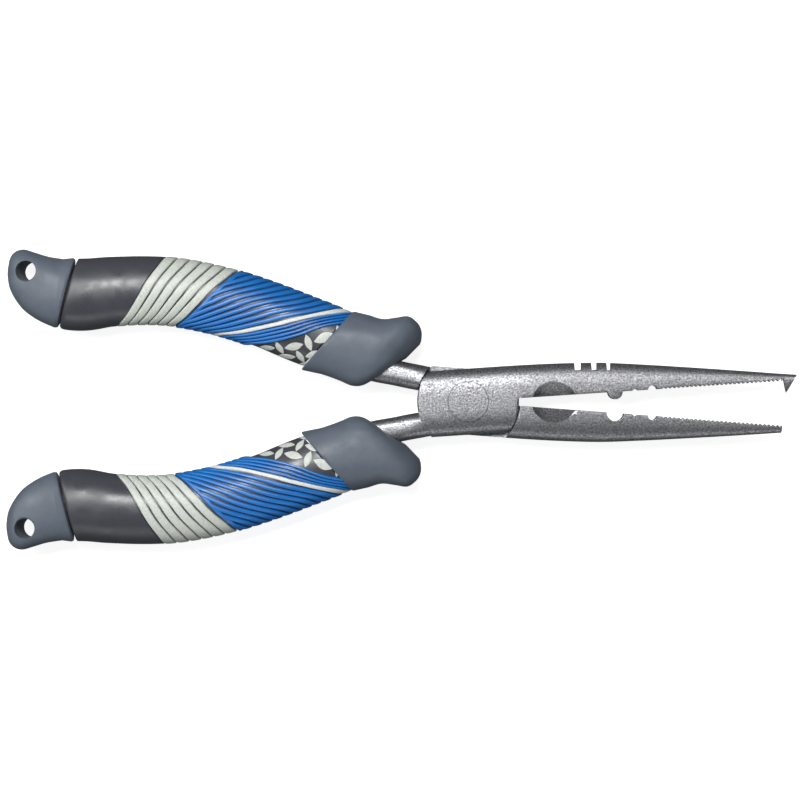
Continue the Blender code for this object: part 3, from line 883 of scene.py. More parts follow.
    def section(self, row: Row, u: float) -> Vector:
        """A point of the bar's section.

        Args:
            row: the section's place, its back edge and its inner edge or face.
            u: share of the way round, from the underside by the back to the face.

        Returns:
            The point.
        """
        x, limit, inner = row
        thick, outer = self.flank(x), self.back(x)
        closed = x < self.throat
        if closed and u > self.back_part:
            turn = (0.5 + (u - self.back_part) / (1 - self.back_part)) * math.pi
            c, s = superellipse(turn, self.squareness(x))
            return Vector((x, outer * c, thick * s))
        edge = min(self.edge_round, (limit - inner) / 3)
        if u <= self.back_part:
            c, s = superellipse((u / self.back_part - 0.5) * math.pi, self.squareness(x))
            y = outer * c
            if not closed:
                y = min(max(y, inner + edge), limit)
            return Vector((x, y, thick * s))
        corner = self.corner_part
        if self.back_part + corner < u < 1 - corner:
            share = (u - self.back_part - corner) / (1 - self.back_part - 2 * corner)
            return Vector((x, inner, (thick - edge) * (1 - 2 * share)))
        side = 1 if u <= self.back_part + corner else -1
        turn = (u - self.back_part if side > 0 else 1 - u) / corner * math.pi / 2
        rounded = thick - edge * (1 - math.cos(turn))
        return Vector((x, inner + edge * (1 - math.sin(turn)), side * rounded))

    def squareness(self, x: float) -> float:
        """Squareness of the section: square at the joint and rounder along the jaw."""
        return 2.7 + 0.8 * (1 - blend_step(10 * MM, 45 * MM, x))

    def bar(self) -> bmesh.types.BMesh:
        """The jaw and the closed boss as one skin.

        Returns:
            The skin.
        """
        rows = self.closed_stations() + self.jaw_stations()
        last = len(rows) - 1

        def place(u: float, v: float) -> Vector:
            """Reads the section for one point of the grid."""
            return self.section(rows[round(v * last)], u)

        return shaped_grid(self.columns, last, place, Shell.CAPPED)

    def rim_cutter(self, start: float, sweep: float, far: float, rim: float) -> bmesh.types.BMesh:
        """All that lies outside a part of the boss's round end.

        Args:
            start: angle at which the part begins, in degrees.
            sweep: angle that it covers, in degrees.
            far: how far out the cut reaches.
            rim: radius of the rim's rounding.

        Returns:
            The cutting solid.
        """
        joint = self.joint
        tall = self.clear
        profile = [(far, -tall), (joint.radius, -tall)]
        profile += quarter_round(joint.radius, joint.half_thickness, -rim, -rim, 6)
        profile += [(joint.radius - rim, tall), (far, tall)]
        return turned(profile, math.radians(start), math.radians(sweep), max(8, round(abs(sweep))))

    def lap_cutter(self) -> bmesh.types.BMesh:
        """The room for the other half's boss, with a rounded shoulder.

        Returns:
            The cutting solid.
        """
        joint = self.joint
        radius = joint.radius + joint.shoulder_gap
        rim = joint.shoulder_rim
        profile = [(0.0, joint.lap), (radius, joint.lap)]
        profile += quarter_round(radius, -joint.half_thickness, rim, rim, 5)
        profile += [(radius + rim, -self.clear), (0.0, -self.clear)]
        return turned(profile, 0.0, FULL_TURN, 128)

    def seat_cutter(self) -> bmesh.types.BMesh:
        """The rivet's bore and the seat of its head.

        Returns:
            The cutting solid.
        """
        joint = self.joint
        bore = joint.shank_radius + 0.15 * MM
        seat = joint.head_radius + joint.head_gap
        floor = joint.half_thickness - joint.head_depth - 0.1 * MM
        profile = [(0.0, -self.clear), (bore, -self.clear), (bore, floor), (seat, floor)]
        profile += [(seat, self.clear), (0.0, self.clear)]
        return turned(profile, 0.0, FULL_TURN, 96)

    def relief_cutter(self, side: float) -> bmesh.types.BMesh:
        """The half-moon relief beside the cutting edge, its floor sloping and its rim broken.

        Args:
            side: 1 for the upper flank, -1 for the lower one.

        Returns:
            The cutting solid.
        """
        face = self.flank(self.cutter_x)
        inner, outer = self.cutter_radius, self.cutter_radius + 0.4 * MM
        profile = [(0.0, 0.0), (inner, 0.0), (inner, face - 0.35 * MM), (outer, face - 0.05 * MM)]
        profile += [(outer, self.clear), (0.0, self.clear)]
        bm = turned(profile, 0.0, FULL_TURN, 96)
        drop = self.cutter_rise - self.cutter_radius
        bmesh.ops.translate(bm, verts=bm.verts, vec=(self.cutter_x, drop, 0))
        for vertex in bm.verts:
            if vertex.co.z < 0.5 * face:
                vertex.co.z = self.cutter_edge + self.cutter_slope * vertex.co.y
        bmesh.ops.scale(bm, verts=bm.verts, vec=(1, 1, side))
        return faced_out(bm)

    def build(self) -> None:
        """Shapes the forging and finishes it."""
        half = scratch(self.place.jaw, self.bar())
        rim = self.joint.rim
        carve(half, "DIFFERENCE", self.rim_cutter(95, 93, self.clear_round, rim))
        carve(half, "DIFFERENCE", self.rim_cutter(187, 78, self.clear_round, 0.02 * MM))
        throat = self.rim_cutter(-90, 90, self.throat_radius, rim)
        bmesh.ops.translate(throat, verts=throat.verts, vec=(0, self.face, 0))
        carve(half, "DIFFERENCE", throat)
        carve(half, "UNION", self.grip.tang(self.crown))
        carve(half, "DIFFERENCE", self.lap_cutter())
        carve(half, "DIFFERENCE", self.seat_cutter())
        for side in (1.0, -1.0):
            carve(half, "DIFFERENCE", self.relief_cutter(side))
        self.place.finish_piece(f"{self.place.jaw}_forging", half, STEEL, self.place.jaw)


@dataclass
class Rivet:
    """The flush rivet: its headed shank, and the closed head on the underside."""

    place: HalfPlace
    joint: JointSizes
    half: SteelHalf
    edge: float = 0.12 * MM
    sink: float = 0.01 * MM

    def dressed_off(self, profile: list[Span]) -> bmesh.types.BMesh:
        """Turns a solid and lets its outer face follow the crowned flank.

        Args:
            profile: its profile, as radius and height.

        Returns:
            The solid.
        """
        solid = turned(profile, 0.0, FULL_TURN, 96)
        flat = self.joint.half_thickness
        for vertex in solid.verts:
            if abs(vertex.co.z) > flat - self.joint.head_depth / 2:
                vertex.co.z -= math.copysign(flat - self.half.crown(0.0, vertex.co.y), vertex.co.z)
        solid.normal_update()
        return solid

    def build(self) -> None:
        """Turns both pieces."""
        joint, edge = self.joint, self.edge
        crown = joint.half_thickness - self.sink
        under = joint.half_thickness - joint.head_depth
        head = [(0.0, -crown), (joint.shank_radius / 2, -crown), (joint.shank_radius, -crown)]
        head += [(joint.shank_radius, under), (joint.head_radius, under), (joint.head_radius, crown - edge)]
        head += [(radius, crown) for radius in even(joint.head_radius - edge, 0.0, 8)]
        self.place.finish_piece("pivot_rivet_head", self.dressed_off(head), STEEL, "pivot_rivet")
        bore = joint.shank_radius + 0.06 * MM
        collar = [(radius, -crown) for radius in even(bore, joint.head_radius - edge, 5)]
        collar += [(joint.head_radius, -crown + edge), (joint.head_radius, -under), (bore, -under)]
        self.place.finish_piece("rivet_collar_turned", self.dressed_off(collar), STEEL, "rivet_collar")


# ---------------------------------------------------------------------------------------------------------
# Grips
# ---------------------------------------------------------------------------------------------------------


@dataclass
class GripForm:
    """The grip's middle line and skin, measured back from the pivot."""

    front: float = 38.4 * MM
    rake: float = 6.2 * MM
    sleeve: float = 78.0 * MM
    cap: float = 19.4 * MM
    cap_rake: float = 2.2 * MM
    spread: float = 25.4 * MM
    width: float = 20.0 * MM
    thickness: float = 16.6 * MM
    tang_width: float = 7.4 * MM
    tang_thickness: float = 5.0 * MM
    tang_drift: float = 3.0 * MM
    joint: JointSizes = field(default_factory=JointSizes)

    def __post_init__(self) -> None:
        """Makes the curves that the skin follows."""
        line = ((0.0, 0.19), (0.059, 0.205), (0.107, 0.232), (0.147, 0.268), (0.191, 0.331), (0.25, 0.457))
        line += ((0.309, 0.583), (0.368, 0.681), (0.442, 0.807), (0.515, 0.906), (0.582, 0.969))
        line += ((0.648, 1.0), (0.714, 0.988), (0.781, 0.945), (0.832, 0.894), (0.869, 0.89))
        line += ((0.94, 0.965), (1.0, 1.06))
        swell = ((0.0, 1.0), (0.37, 1.015), (0.45, 0.995), (0.65, 0.995), (0.74, 1.0), (0.79, 1.02))
        swell += ((0.84, 1.05), (1.0, 1.0))
        bend = ((0.4, 0.0), (0.57, 0.15), (0.8, 0.75), (1.0, 1.0), (1.3, 0.75), (1.65, 0.25), (2.0, 0.0))
        self.rear = self.front + self.sleeve
        self.reach = self.rear + self.cap
        self.line = SmoothCurve(line, self.reach, self.spread)
        self.swell = SmoothCurve(swell, self.reach)
        self.bend = SmoothCurve(bend, self.front, self.tang_drift)
        self.guard_plane = RakedPlane(self, self.front, self.front + self.rake)
        self.cap_plane = RakedPlane(self, self.rear, self.rear + self.cap_rake)

    def point(self, back: float, across: float, up: float) -> Vector:
        """A point beside the middle line.

        Args:
            back: distance back from the pivot, along the middle line.
            across: distance out, square to the line.
            up: height over the lap plane.

        Returns:
            The point in the closed frame.
        """
        step = 0.1 * MM
        slope = (self.line(back + step) - self.line(back - step)) / (2 * step)
        outward = Vector((slope, -1, 0)).normalized()
        return Vector((-back, -self.line(back), up)) + across * outward

    def skin(self, back: float, angle: float, inset: float = 0.0) -> Vector:
        """A point of the grip's oval skin.

        Args:
            back: distance back from the pivot, along the middle line.
            angle: where round the skin; 0 is its outer side.
            inset: depth under the skin.

        Returns:
            The point in the closed frame.
        """
        c, s = superellipse(angle, 2.2)
        swell = self.swell(back)
        across, up = self.width / 2 * swell - inset, self.thickness / 2 * swell - inset
        return self.point(back, across * c, up * s)

    def tang(self, crown: Crown) -> bmesh.types.BMesh:
        """The steel tang, from inside the boss to its end within the grip.

        Args:
            crown: height of the boss's flank at a place, which the tang's root stays under.

        Returns:
            The tang.
        """
        radius = self.joint.radius
        start, end = radius - 5 * MM, self.rear - 4 * MM

        def place(u: float, v: float) -> Vector:
            """Reads the tang's section for one point of the grid.

            Args:
                u: share of the way round.
                v: share of the way along.

            Returns:
                The point.
            """
            back = start + (end - start) * v
            c, s = superellipse(FULL_TURN * u, 3.0)
            run = self.front + self.rake - radius
            thin = min(max((back - radius) / run, 0.0), 1.0) ** 0.7
            thick = 2 * self.joint.half_thickness * (1 - thin) + self.tang_thickness * thin
            spot = self.point(back, self.tang_width / 2 * c - self.bend(back), thick / 2 * s)
            free = blend_step(radius - 4 * MM, radius + 4 * MM, back)
            under = min(abs(spot.z), max(crown(spot.x, spot.y) - 0.03 * MM, 0.6 * MM))
            spot.z = math.copysign(under + (abs(spot.z) - under) * free, spot.z)
            return spot

        return shaped_grid(48, 60, place, Shell.CAPPED)


class RakedPlane:
    """A flat cut across a grip, through an outer and an inner corner."""

    def __init__(self, grip: GripForm, outer_back: float, inner_back: float) -> None:
        """Finds the plane.

        Args:
            grip: the grip that is cut.
            outer_back: distance back of the outer corner.
            inner_back: distance back of the inner corner.
        """
        self.grip = grip
        self.outer = grip.skin(outer_back, 0.0)
        self.inner = grip.skin(inner_back, math.pi)
        along = (self.inner - self.outer).normalized()
        self.normal = Vector((-along.y, along.x, 0))
        if self.normal.x > 0:
            self.normal.negate()

    def station(self, angle: float, inset: float = 0.0, shift: float = 0.0) -> float:
        """How far back the skin meets the plane.

        Args:
            angle: where round the skin.
            inset: depth under the skin.
            shift: distance that the plane is moved back.

        Returns:
            The distance back.
        """
        low, high = 0.0, self.grip.reach
        for _ in range(30):
            middle = (low + high) / 2
            if (self.grip.skin(middle, angle, inset) - self.outer).dot(self.normal) < shift:
                low = middle
            else:
                high = middle
        return low


SLANT = SmoothCurve(
    (
        (0.0, 0.0),
        (0.07, 0.03),
        (0.25, 0.14),
        (0.43, 0.35),
        (0.58, 0.56),
        (0.77, 0.80),
        (0.87, 0.92),
        (1.0, 1.0),
    )
)


@dataclass
class BandPattern:
    """Slanting raised bands: edges are distances back from the grip's front, on its outer and inner side.

    A leaf's turns are in degrees round the grip.
    """

    glow_rear: Span = (51.8 * MM, 66.2 * MM)
    glow_front: Span = (32.6 * MM, 47.6 * MM)
    glow_count: int = 6
    glow_groove: float = 0.52 * MM
    glow_rise: float = 0.12 * MM
    sleeve_step: float = 0.25 * MM
    stripe: Span = (1.3 * MM, 35.0 * MM)
    stripe_width: float = 1.9 * MM
    stripe_rise: float = 0.22 * MM
    guard_gap: float = 0.4 * MM
    panel: Span = (-3.9 * MM, 25.0 * MM)
    rib_pitch: float = 2.84 * MM
    rib_groove: float = 0.82 * MM
    rib_rise: float = 0.27 * MM
    hem: float = 1.3 * MM
    hem_rise: float = 0.14 * MM
    ribs_behind: int = 12
    ribs_ahead: int = 4
    floor: float = 0.55 * MM
    root: float = 0.95 * MM
    leaf_start: Span = (14.8 * MM, 138.0)
    leaf_along: Span = (-3.4 * MM, -16.3)
    leaf_across: Span = (-2.6 * MM, 17.0)
    leaf_lying: Span = (37.0, 5.3 * MM)
    leaf_upright: Span = (-46.0, 4.5 * MM)
    leaf_limit: float = 168.0
    leaf_guard_gap: float = 1.5 * MM
    leaf_panel_gap: float = 0.6 * MM
    leaf_half_width: float = 0.42
    leaf_height: float = 0.38 * MM
    leaf_root: float = 0.2 * MM


@dataclass
class Grip:
    """Everything that is moulded on one tang."""

    place: HalfPlace
    form: GripForm
    bands: BandPattern
    columns: int = 120
    sleeve_inset: float = 2.6 * MM
    sleeve_round: float = 0.9 * MM
    tuck: float = 1.2 * MM

    def wave(self, angle: float) -> float:
        """0 on the outer side and 1 on the inner side, the same on both flanks."""
        return SLANT(1 - abs(angle % FULL_TURN - math.pi) / math.pi)

    def edge(self, span: Span, angle: float) -> float:
        """Distance back of a slanting edge at one angle."""
        return self.form.front + span[0] + (span[1] - span[0]) * self.wave(angle)

    def along(self, rows: Sequence[tuple[Back, float]]) -> bmesh.types.BMesh:
        """Lofts a tube's wall round the grip, its last ring meeting its first.

        Args:
            rows: for each ring, its distance back at an angle and its depth under the grip's skin.

        Returns:
            The skin.
        """
        count = len(rows)

        def place(u: float, v: float) -> Vector:
            """Reads the ring for one point of the grid.

            Args:
                u: share of the way round.
                v: share of the way along.

            Returns:
                The point.
            """
            back_at, inset = rows[round(v * count) % count]
            angle = FULL_TURN * u
            return self.form.skin(back_at(angle), angle, inset)

        return shaped_grid(self.columns, count, place, Shell.RING)

    def plane_back(self, plane: RakedPlane, shift: float) -> Back:
        """A raked plane's distance back at an angle, worked out once for each angle.

        Args:
            plane: the plane.
            shift: distance that it is moved back.

        Returns:
            The distance back, as a function of the angle.
        """
        known: dict[float, float] = {}

        def back_at(angle: float) -> float:
            """Looks the distance up, or finds it.

            Args:
                angle: where round the grip.

            Returns:
                The distance back.
            """
            if angle not in known:
                known[angle] = plane.station(angle, 0.0, shift)
            return known[angle]

        return back_at

    def sleeve(self) -> None:
        """The charcoal sleeve, thick behind the bands and thinner under them."""
        form, bands = self.form, self.bands
        rear = self.plane_back(form.cap_plane, -0.35 * MM)
        front = self.plane_back(form.guard_plane, self.tuck)
        deep, corner = self.sleeve_inset, self.sleeve_round

        def step(angle: float) -> float:
            """Distance back of the step behind the rearmost band."""
            return self.edge(bands.glow_rear, angle) + bands.sleeve_step

        rows = [(rear, deep), (rear, 1.1 * MM)]
        for turn in even(0.0, math.pi / 2, 5)[1:]:
            rows.append((ahead(rear, corner * (1 - math.cos(turn))), corner * (1 - math.sin(turn))))
        rows += [(between(ahead(rear, corner), step, share), 0.0) for share in even(0.0, 1.0, 24)[1:]]
        under = ahead(step, 0.2 * MM)
        rows += [(ahead(step, 0.12 * MM), 0.1 * MM), (under, bands.floor)]
        rows += [(between(under, front, share), bands.floor) for share in even(0.0, 1.0, 70)[1:]]
        rows.append((front, deep))
        rows += [(between(front, rear, share), deep) for share in even(0.0, 1.0, 12)[1:-1]]
        name = f"{self.place.grip}_grip_sleeve"
        self.place.finish_piece(f"{name}_moulded", self.along(rows), CHARCOAL, name)

    def band(self, rear: Span, front: Span, rise: float, low: Back, high: Back) -> bmesh.types.BMesh:
        """One raised band with rounded edges.

        Args:
            rear: its rear edge.
            front: its front edge.
            rise: its height over the grip's skin.
            low: nearest distance back that it may reach, at an angle.
            high: furthest distance back that it may reach, at an angle.

        Returns:
            The band as a closed ring.
        """
        root = self.bands.root
        half = [(0.0, root), (0.0, 0.3 * MM), (0.02, 0.08 * MM)]
        half += [(0.06, -0.35 * rise), (0.14, -0.78 * rise), (0.3, -0.97 * rise)]
        shape = [*half, (0.5, -rise), *((1 - share, depth) for share, depth in reversed(half))]
        count = len(shape)

        def place(u: float, v: float) -> Vector:
            """Reads the band's section, held between its limits.

            Args:
                u: share of the way round.
                v: share of the way along.

            Returns:
                The point.
            """
            angle = FULL_TURN * u
            share, depth = shape[round(v * count) % count]
            start, end = self.edge(rear, angle), self.edge(front, angle)
            near, far = low(angle), high(angle)
            start, end = min(max(start, near), far), min(max(end, near), far)
            fade = blend_step(0.02 * MM, 0.3 * MM, start - end)
            return self.form.skin(start + (end - start) * share, angle, depth * fade + root * (1 - fade))

        return shaped_grid(self.columns, count, place, Shell.RING)

    def glow_bands(self) -> None:
        """The pale bands, each a piece of its own."""
        bands = self.bands
        half = bands.glow_groove / 2
        for i in range(bands.glow_count):
            rear = mixed(bands.glow_rear, bands.glow_front, i / bands.glow_count)
            front = mixed(bands.glow_rear, bands.glow_front, (i + 1) / bands.glow_count)
            name = f"{self.place.grip}_glow_band_{i + 1}"
            edges = moved(rear, -half), moved(front, half)
            solid = self.band(*edges, bands.glow_rise, lambda angle: 0.0, lambda angle: 1.0)
            self.place.finish_piece(f"{name}_moulded", solid, GLOW, name)

    def rib_spans(self) -> list[tuple[Span, Span]]:
        """Edges of the blue ribs behind the white stripe and ahead of it.

        Returns:
            Each rib's rear and front edge.
        """
        bands = self.bands
        clear = bands.stripe_width / 2
        spans = []
        for i in range(bands.ribs_behind):
            front = clear + bands.rib_groove + i * bands.rib_pitch
            rear = clear + (i + 1) * bands.rib_pitch
            spans.append((moved(bands.stripe, rear), moved(bands.stripe, front)))
        first = moved(bands.stripe, -clear)
        groove = bands.rib_groove / bands.rib_pitch
        for i in range(bands.ribs_ahead):
            rear = mixed(first, bands.panel, (i + groove) / bands.ribs_ahead)
            spans.append((rear, mixed(first, bands.panel, (i + 1) / bands.ribs_ahead)))
        return spans

    def blue_ribs(self) -> None:
        """The blue ribs, joined into one moulding."""
        bands = self.bands
        glow = moved(bands.glow_front, -bands.glow_groove)
        guard = self.plane_back(self.form.guard_plane, -bands.guard_gap)
        whole = bmesh.new()
        hem = (glow, moved(glow, -bands.hem), bands.hem_rise)
        ribs = [(rear, front, bands.rib_rise) for rear, front in self.rib_spans()]
        for rear, front, rise in [hem, *ribs]:
            gather(whole, self.band(rear, front, rise, guard, lambda angle: self.edge(glow, angle)))
        name = f"{self.place.grip}_blue_wrap"
        self.place.finish_piece(f"{self.place.grip}_blue_ribs", whole, BLUE, name)

    def stripe(self) -> None:
        """The white stripe between the blue ribs."""
        bands = self.bands
        half = bands.stripe_width / 2
        edges = moved(bands.stripe, half), moved(bands.stripe, -half)
        guard = self.plane_back(self.form.guard_plane, -bands.guard_gap)
        solid = self.band(*edges, bands.stripe_rise, guard, lambda angle: 1.0)
        name = f"{self.place.grip}_white_stripe"
        self.place.finish_piece(f"{name}_moulded", solid, WHITE, name)

    def leaf(self, back: float, angle: float, tilt: float, length: float, flank: int) -> bmesh.types.BMesh:
        """One leaf-shaped fleck laid on the skin.

        Args:
            back: its middle, back from the pivot.
            angle: its middle, round the grip.
            tilt: its turn from the grip's length.
            length: its length.
            flank: 1 on the upper flank, -1 on the lower one.

        Returns:
            The fleck as a thin closed pad.
        """
        bm = bmesh.new()
        bmesh.ops.create_circle(bm, cap_ends=True, cap_tris=True, radius=1.0, segments=28)
        for vertex in bm.verts:
            wide = self.bands.leaf_half_width * (1 - abs(vertex.co.x) ** 1.9)
            vertex.co.y = math.copysign(wide, vertex.co.y) if vertex.co.y else 0.0
        lifted = bmesh.ops.extrude_face_region(bm, geom=list(bm.faces))["geom"]
        top = {item for item in lifted if isinstance(item, bmesh.types.BMVert)}
        radius = self.form.thickness / 2
        for vertex in bm.verts:
            x, y = vertex.co.x * length / 2, vertex.co.y * length / 2
            crown = 1.0 if vertex.co.xy.length < 0.1 else 0.45
            rise = self.bands.leaf_height * crown if vertex in top else -self.bands.leaf_root
            depth = self.bands.floor - rise
            turn = x * math.sin(tilt) + y * math.cos(tilt)
            run = x * math.cos(tilt) - y * math.sin(tilt)
            vertex.co = self.form.skin(back + run, angle + flank * turn / radius, depth)
        return faced_out(bm)

    def leaf_flecks(self) -> None:
        """Pale leaf flecks on the dark panel by the guard, in alternating directions like tread plate."""
        whole = bmesh.new()
        bands, form = self.bands, self.form
        guard = self.plane_back(form.guard_plane, -bands.leaf_guard_gap)
        for flank, i, j in product((1, -1), range(-2, 7), range(-3, 5)):
            back = form.front + bands.leaf_start[0] + i * bands.leaf_along[0] + j * bands.leaf_across[0]
            turn = bands.leaf_start[1] + i * bands.leaf_along[1] + j * bands.leaf_across[1]
            angle = math.radians(turn)
            limit = self.edge(bands.panel, angle) + bands.leaf_panel_gap
            if guard(angle * flank) < back < limit and angle <= math.radians(bands.leaf_limit):
                tilt, length = bands.leaf_lying if (i + j) % 2 == 1 else bands.leaf_upright
                gather(whole, self.leaf(back, angle * flank, math.radians(tilt), length, flank))
        self.place.finish_piece(f"{self.place.grip}_leaf_flecks", whole, GLOW)

    def build(self) -> None:
        """Makes every piece of the grip."""
        self.sleeve()
        self.glow_bands()
        self.blue_ribs()
        self.stripe()
        self.leaf_flecks()
        ThumbGuard(self.place, self.form).build()
        TailCap(self.place, self.form).build()


@dataclass
class Moulding:
    """A moulding lofted from a seam on a raked plane through sections with two corners and a height."""

    place: HalfPlace
    form: GripForm
    half_thickness: float
    seam: tuple[Span, ...]
    shape: Sections
    square: Row
    columns: int = 96
    steps: int = 6

    def spot(self, along: float) -> Span:
        """Distance back and out of the line that one corner is measured from."""
        raise NotImplementedError

    def ring(self, row: Sequence[float], u: float, power: float) -> Vector:
        """A point of one rounded section.

        Args:
            row: its inner corner, its outer corner and its share of the thickness.
            u: share of the way round.
            power: squareness.

        Returns:
            The point.
        """
        made = []
        for along, out in (row[0:2], row[2:4]):
            back, line = self.spot(along)
            made.append(Vector((-back, -line - out * self.form.width, 0)))
        inner, outer = made
        c, s = superellipse(FULL_TURN * u, power)
        up = Vector((0, 0, self.half_thickness * row[4] * s))
        return (inner + outer) / 2 + c * (outer - inner) / 2 + up

    def loft(self, plane: RakedPlane) -> bmesh.types.BMesh:
        """Lofts the moulding from its seam to its last section.

        Args:
            plane: the plane that the seam lies along.

        Returns:
            The closed skin.
        """
        turns = [FULL_TURN * i / self.columns for i in range(self.columns)]
        seam = []
        for inset, shift in self.seam:
            seam.append([self.form.skin(plane.station(turn, inset, shift), turn, inset) for turn in turns])
        rows = len(seam) + self.steps * len(self.shape)
        columns = zip(*self.shape)
        curves = [SmoothCurve(tuple((float(k), size) for k, size in enumerate(sizes))) for sizes in columns]
        power, growth, run = self.square

        def place(u: float, v: float) -> Vector:
            """Reads the seam, the run to the first section, or the sections.

            Args:
                u: share of the way round.
                v: share of the way along.

            Returns:
                The point.
            """
            k, i = round(v * rows), round(u * self.columns) % self.columns
            if k < len(seam):
                return seam[k][i]
            at = (k - len(seam)) / self.steps
            if at < 1:
                return seam[-1][i].lerp(self.ring(self.shape[0], u, power), at)
            row = [curve(at - 1) for curve in curves]
            return self.ring(row, u, power + growth * min((at - 1) / run, 1.0))

        return shaped_grid(self.columns, rows, place, Shell.CAPPED)


@dataclass
class ThumbGuard(Moulding):
    """The soft guard in front of the sleeve, with a lip over the sleeve's end."""

    half_thickness: float = 9.3 * MM
    seam: tuple[Span, ...] = ((0.35 * MM, 0.9 * MM), (-0.35 * MM, 0.9 * MM), (-0.7 * MM, 0.5 * MM))
    shape: Sections = (
        (1.125, -0.52, 0.79, 0.64, 1.0),
        (0.98, -0.49, 0.69, 0.675, 1.0),
        (0.885, -0.475, 0.586, 0.77, 1.0),
        (0.807, -0.40, 0.495, 0.84, 0.97),
        (0.73, -0.25, 0.424, 0.78, 0.87),
        (0.638, -0.05, 0.39, 0.68, 0.66),
        (0.547, 0.13, 0.385, 0.555, 0.40),
        (0.49, 0.23, 0.393, 0.48, 0.2),
    )
    square: Row = (2.6, 0.3, 1.0)

    def spot(self, along: float) -> Span:
        """Distances on the grip's middle line."""
        back = along * self.form.front
        return back, self.form.line(back)

    def build(self) -> None:
        """Lofts the guard from its lip over the sleeve to its nose."""
        name = f"{self.place.grip}_thumb_guard"
        self.place.finish_piece(f"{name}_moulded", self.loft(self.form.guard_plane), GREY, name)


@dataclass
class TailCap(Moulding):
    """The soft cap on the handle's end, with the lanyard hole."""

    half_thickness: float = 7.8 * MM
    seam: tuple[Span, ...] = (
        (2.6 * MM, 0.15 * MM),
        (0.9 * MM, 0.15 * MM),
        (0.25 * MM, 0.4 * MM),
        (0.0, 1.0 * MM),
    )
    shape: Sections = (
        (0.263, -0.495, 0.186, 0.50, 1.0),
        (0.418, -0.445, 0.418, 0.52, 1.0),
        (0.572, -0.375, 0.624, 0.565, 1.0),
        (0.727, -0.275, 0.778, 0.595, 1.0),
        (0.856, -0.135, 0.897, 0.56, 0.93),
        (0.948, 0.015, 0.969, 0.475, 0.72),
        (0.99, 0.165, 0.995, 0.34, 0.4),
        (1.0, 0.22, 1.0, 0.285, 0.12),
    )
    square: Row = (2.5, 0.6, 2.0)
    hole_radius: float = 2.9 * MM
    hole_setback: float = 6.5 * MM
    hole_offset: float = 5.7 * MM
    hole_rim: float = 0.55 * MM
    hole_lean: float = 0.12

    def spot(self, along: float) -> Span:
        """Distances straight back from the end of the sleeve."""
        form = self.form
        return form.rear + along * form.cap, form.line(form.rear)

    def build(self) -> None:
        """Lofts the cap and cuts its hole."""
        name = f"{self.place.grip}_tail_cap"
        cap = scratch(name + "_moulded", self.loft(self.form.cap_plane))
        carve(cap, "DIFFERENCE", self.hole_cutter())
        self.place.finish_piece(f"{name}_moulded", cap, GREY, name)

    def hole_cutter(self) -> bmesh.types.BMesh:
        """The lanyard hole, flared at both faces; both grips' holes lean the same way at rest.

        Returns:
            The cutting solid.
        """
        form = self.form
        top = self.half_thickness
        past = top + 2 * MM
        upper = quarter_round(self.hole_radius, top, self.hole_rim, -self.hole_rim, 6)
        upper.append((self.hole_radius + self.hole_rim, past))
        lower = [(radius, -height) for radius, height in reversed(upper)]
        profile = [(0.0, -past), *lower, *upper, (0.0, past)]
        bm = turned(profile, 0.0, FULL_TURN, 72)
        upright = self.place.carry[2][2]
        for vertex in bm.verts:
            vertex.co.x -= self.hole_lean * upright * vertex.co.z
        centre = (self.hole_setback - form.reach, -form.line(form.rear) - self.hole_offset, 0)
        bmesh.ops.translate(bm, verts=bm.verts, vec=centre)
        return bm


# ---------------------------------------------------------------------------------------------------------
# Studio
# ---------------------------------------------------------------------------------------------------------


@dataclass(frozen=True)
class SoftBox:
    """An area light that faces the tool: its place from the tool's middle, its two sides and its power."""

    name: str
    place: Row
    size: Span
    watts: float


SOFTBOXES = (
    SoftBox("key_softbox", (-0.13, 0.30, 0.88), (0.50, 0.22), 5.8),
    SoftBox("fill_softbox", (-0.85, 0.40, 0.80), (0.6, 0.9), 6.5),
    SoftBox("side_softbox", (0.05, -0.90, 0.40), (1.2, 0.4), 1.6),
)


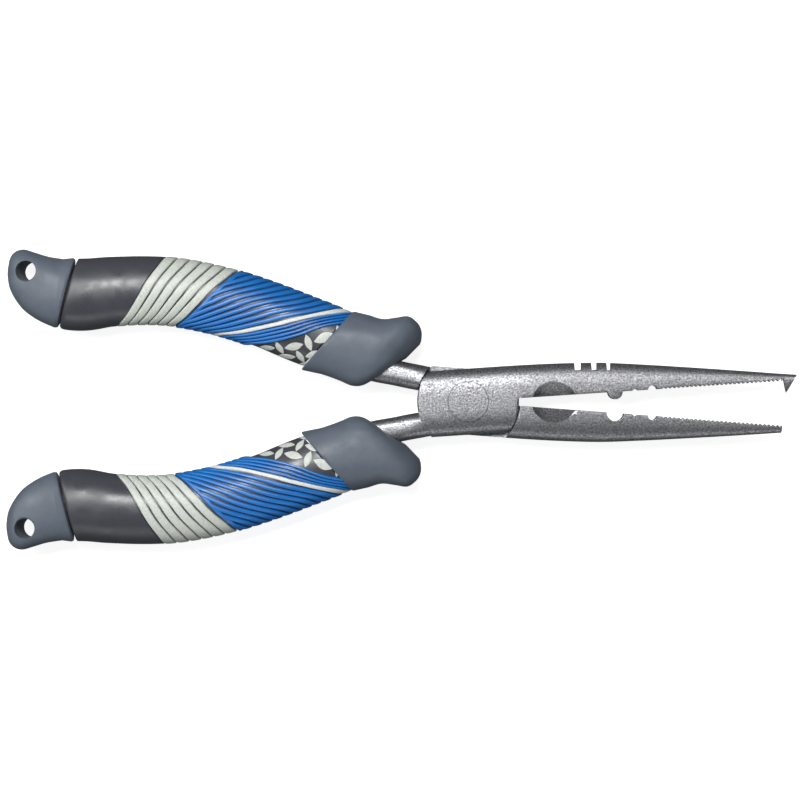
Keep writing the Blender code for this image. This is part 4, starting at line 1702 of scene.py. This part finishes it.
@dataclass
class Studio:
    """Pale floor, soft lights and the camera over the tool."""

    floor_level: float
    centre: Vector
    view_width: float = 232.0 * MM
    camera_height: float = 1.4
    roll: float = math.radians(0.28)
    floor_glow: float = 0.86
    floor_shades: Span = (0.55, 0.58)
    air: float = 0.10

    def floor(self) -> None:
        """A plain pale floor that reads the same from everywhere."""
        bm = bmesh.new()
        bmesh.ops.create_grid(bm, x_segments=1, y_segments=1, size=3.0)
        bmesh.ops.translate(bm, verts=bm.verts, vec=(0, 0, self.floor_level))
        made = scratch("studio_floor", bm)
        bench = NodeBench(bpy.data.materials.new("studio_floor"))
        bench.shader.inputs["Roughness"].default_value = 0.9
        bench.shader.inputs["Specular IOR Level"].default_value = 0.1
        bench.shader.inputs["Emission Color"].default_value = (1, 1, 1, 1)
        bench.shader.inputs["Emission Strength"].default_value = self.floor_glow
        greys = [(at, (shade, shade, shade)) for at, shade in zip((0.3, 0.7), self.floor_shades)]
        bench.link(bench.ramp(bench.noise(3.0), greys), bench.shader.inputs["Base Color"])
        made.data.materials.append(bench.material)
        made.visible_glossy = False
        made.visible_diffuse = False
        made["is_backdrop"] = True

    def softbox(self, box: SoftBox) -> None:
        """Hangs one light so that it faces the tool.

        Args:
            box: the light's sizes.
        """
        data = bpy.data.lights.new(box.name, "AREA")
        data.shape = "RECTANGLE"
        data.size, data.size_y = box.size
        data.energy = box.watts
        lamp = bpy.data.objects.new(box.name, data)
        bpy.context.scene.collection.objects.link(lamp)
        lamp.location = self.centre + Vector(box.place)
        lamp.rotation_euler = (-Vector(box.place)).to_track_quat("-Z", "Y").to_euler()

    def lights(self) -> None:
        """A key over the hooked side, a fill from the tails' side, a weak side light and dim air."""
        for box in SOFTBOXES:
            self.softbox(box)
        world = bpy.data.worlds.new("studio_air")
        world.use_nodes = True
        background = world.node_tree.nodes["Background"]
        background.inputs["Color"].default_value = (0.9, 0.95, 1.0, 1)
        background.inputs["Strength"].default_value = self.air
        bpy.context.scene.world = world
        bpy.context.scene.view_settings.view_transform = "Standard"

    def camera(self) -> None:
        """Looks straight down on the tool."""
        data = bpy.data.cameras.new("camera")
        data.sensor_width = 36.0
        data.lens = 36.0 * self.camera_height / self.view_width
        data.clip_start = 0.05
        made = bpy.data.objects.new("camera", data)
        bpy.context.scene.collection.objects.link(made)
        made.location = self.centre + Vector((0, 0, self.camera_height))
        made.rotation_euler = (0, 0, self.roll)
        bpy.context.scene.camera = made

    def build(self) -> None:
        """Sets the whole studio up."""
        self.floor()
        self.lights()
        self.camera()


def carried_over(frame: dict) -> None:
    """Dresses the frame's inner nodes that stay as they are.

    Args:
        frame: the loaded frame.
    """
    finishes = {"joint_shim": BRONZE, "upper_grip_core": CORE, "lower_grip_core": CORE}
    for node, finish in finishes.items():
        mesh = frame["nodes"][node].data
        mesh.materials.clear()
        mesh.materials.append(finish.material())
        log.info("%s keeps its frame shape in %s", node, finish.name)


def main() -> None:
    """Builds the tool round its frame."""
    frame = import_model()
    frame_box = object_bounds()
    hinge = frame["joints"][0]
    pivot = Matrix.Translation(Vector(hinge["pos_m"]))
    half_open = math.radians(-hinge["range_deg"][0]) / 2
    turned_over = Matrix.Rotation(math.pi, 4, "X")
    hooked = HalfPlace(
        "upper_jaw_half", "lower", hinge["parent"], pivot @ Matrix.Rotation(half_open, 4, "Z")
    )
    plain = HalfPlace(
        "lower_jaw_half", "upper", hinge["child"], pivot @ Matrix.Rotation(-half_open, 4, "Z") @ turned_over
    )
    joint = JointSizes()
    form = GripForm()
    for place, has_hook in ((hooked, True), (plain, False)):
        half = SteelHalf(place, joint, form, has_hook)
        half.build()
        if has_hook:
            Rivet(place, joint, half).build()
        Grip(place, form, BandPattern()).build()
    carried_over(frame)
    low = Vector(frame_box[0])
    centre = Vector((*VIEW_MIDDLE, hinge["pos_m"][2]))
    Studio(low.z - FLOOR_GAP, centre).build()


if __name__ == "__main__":
    main()
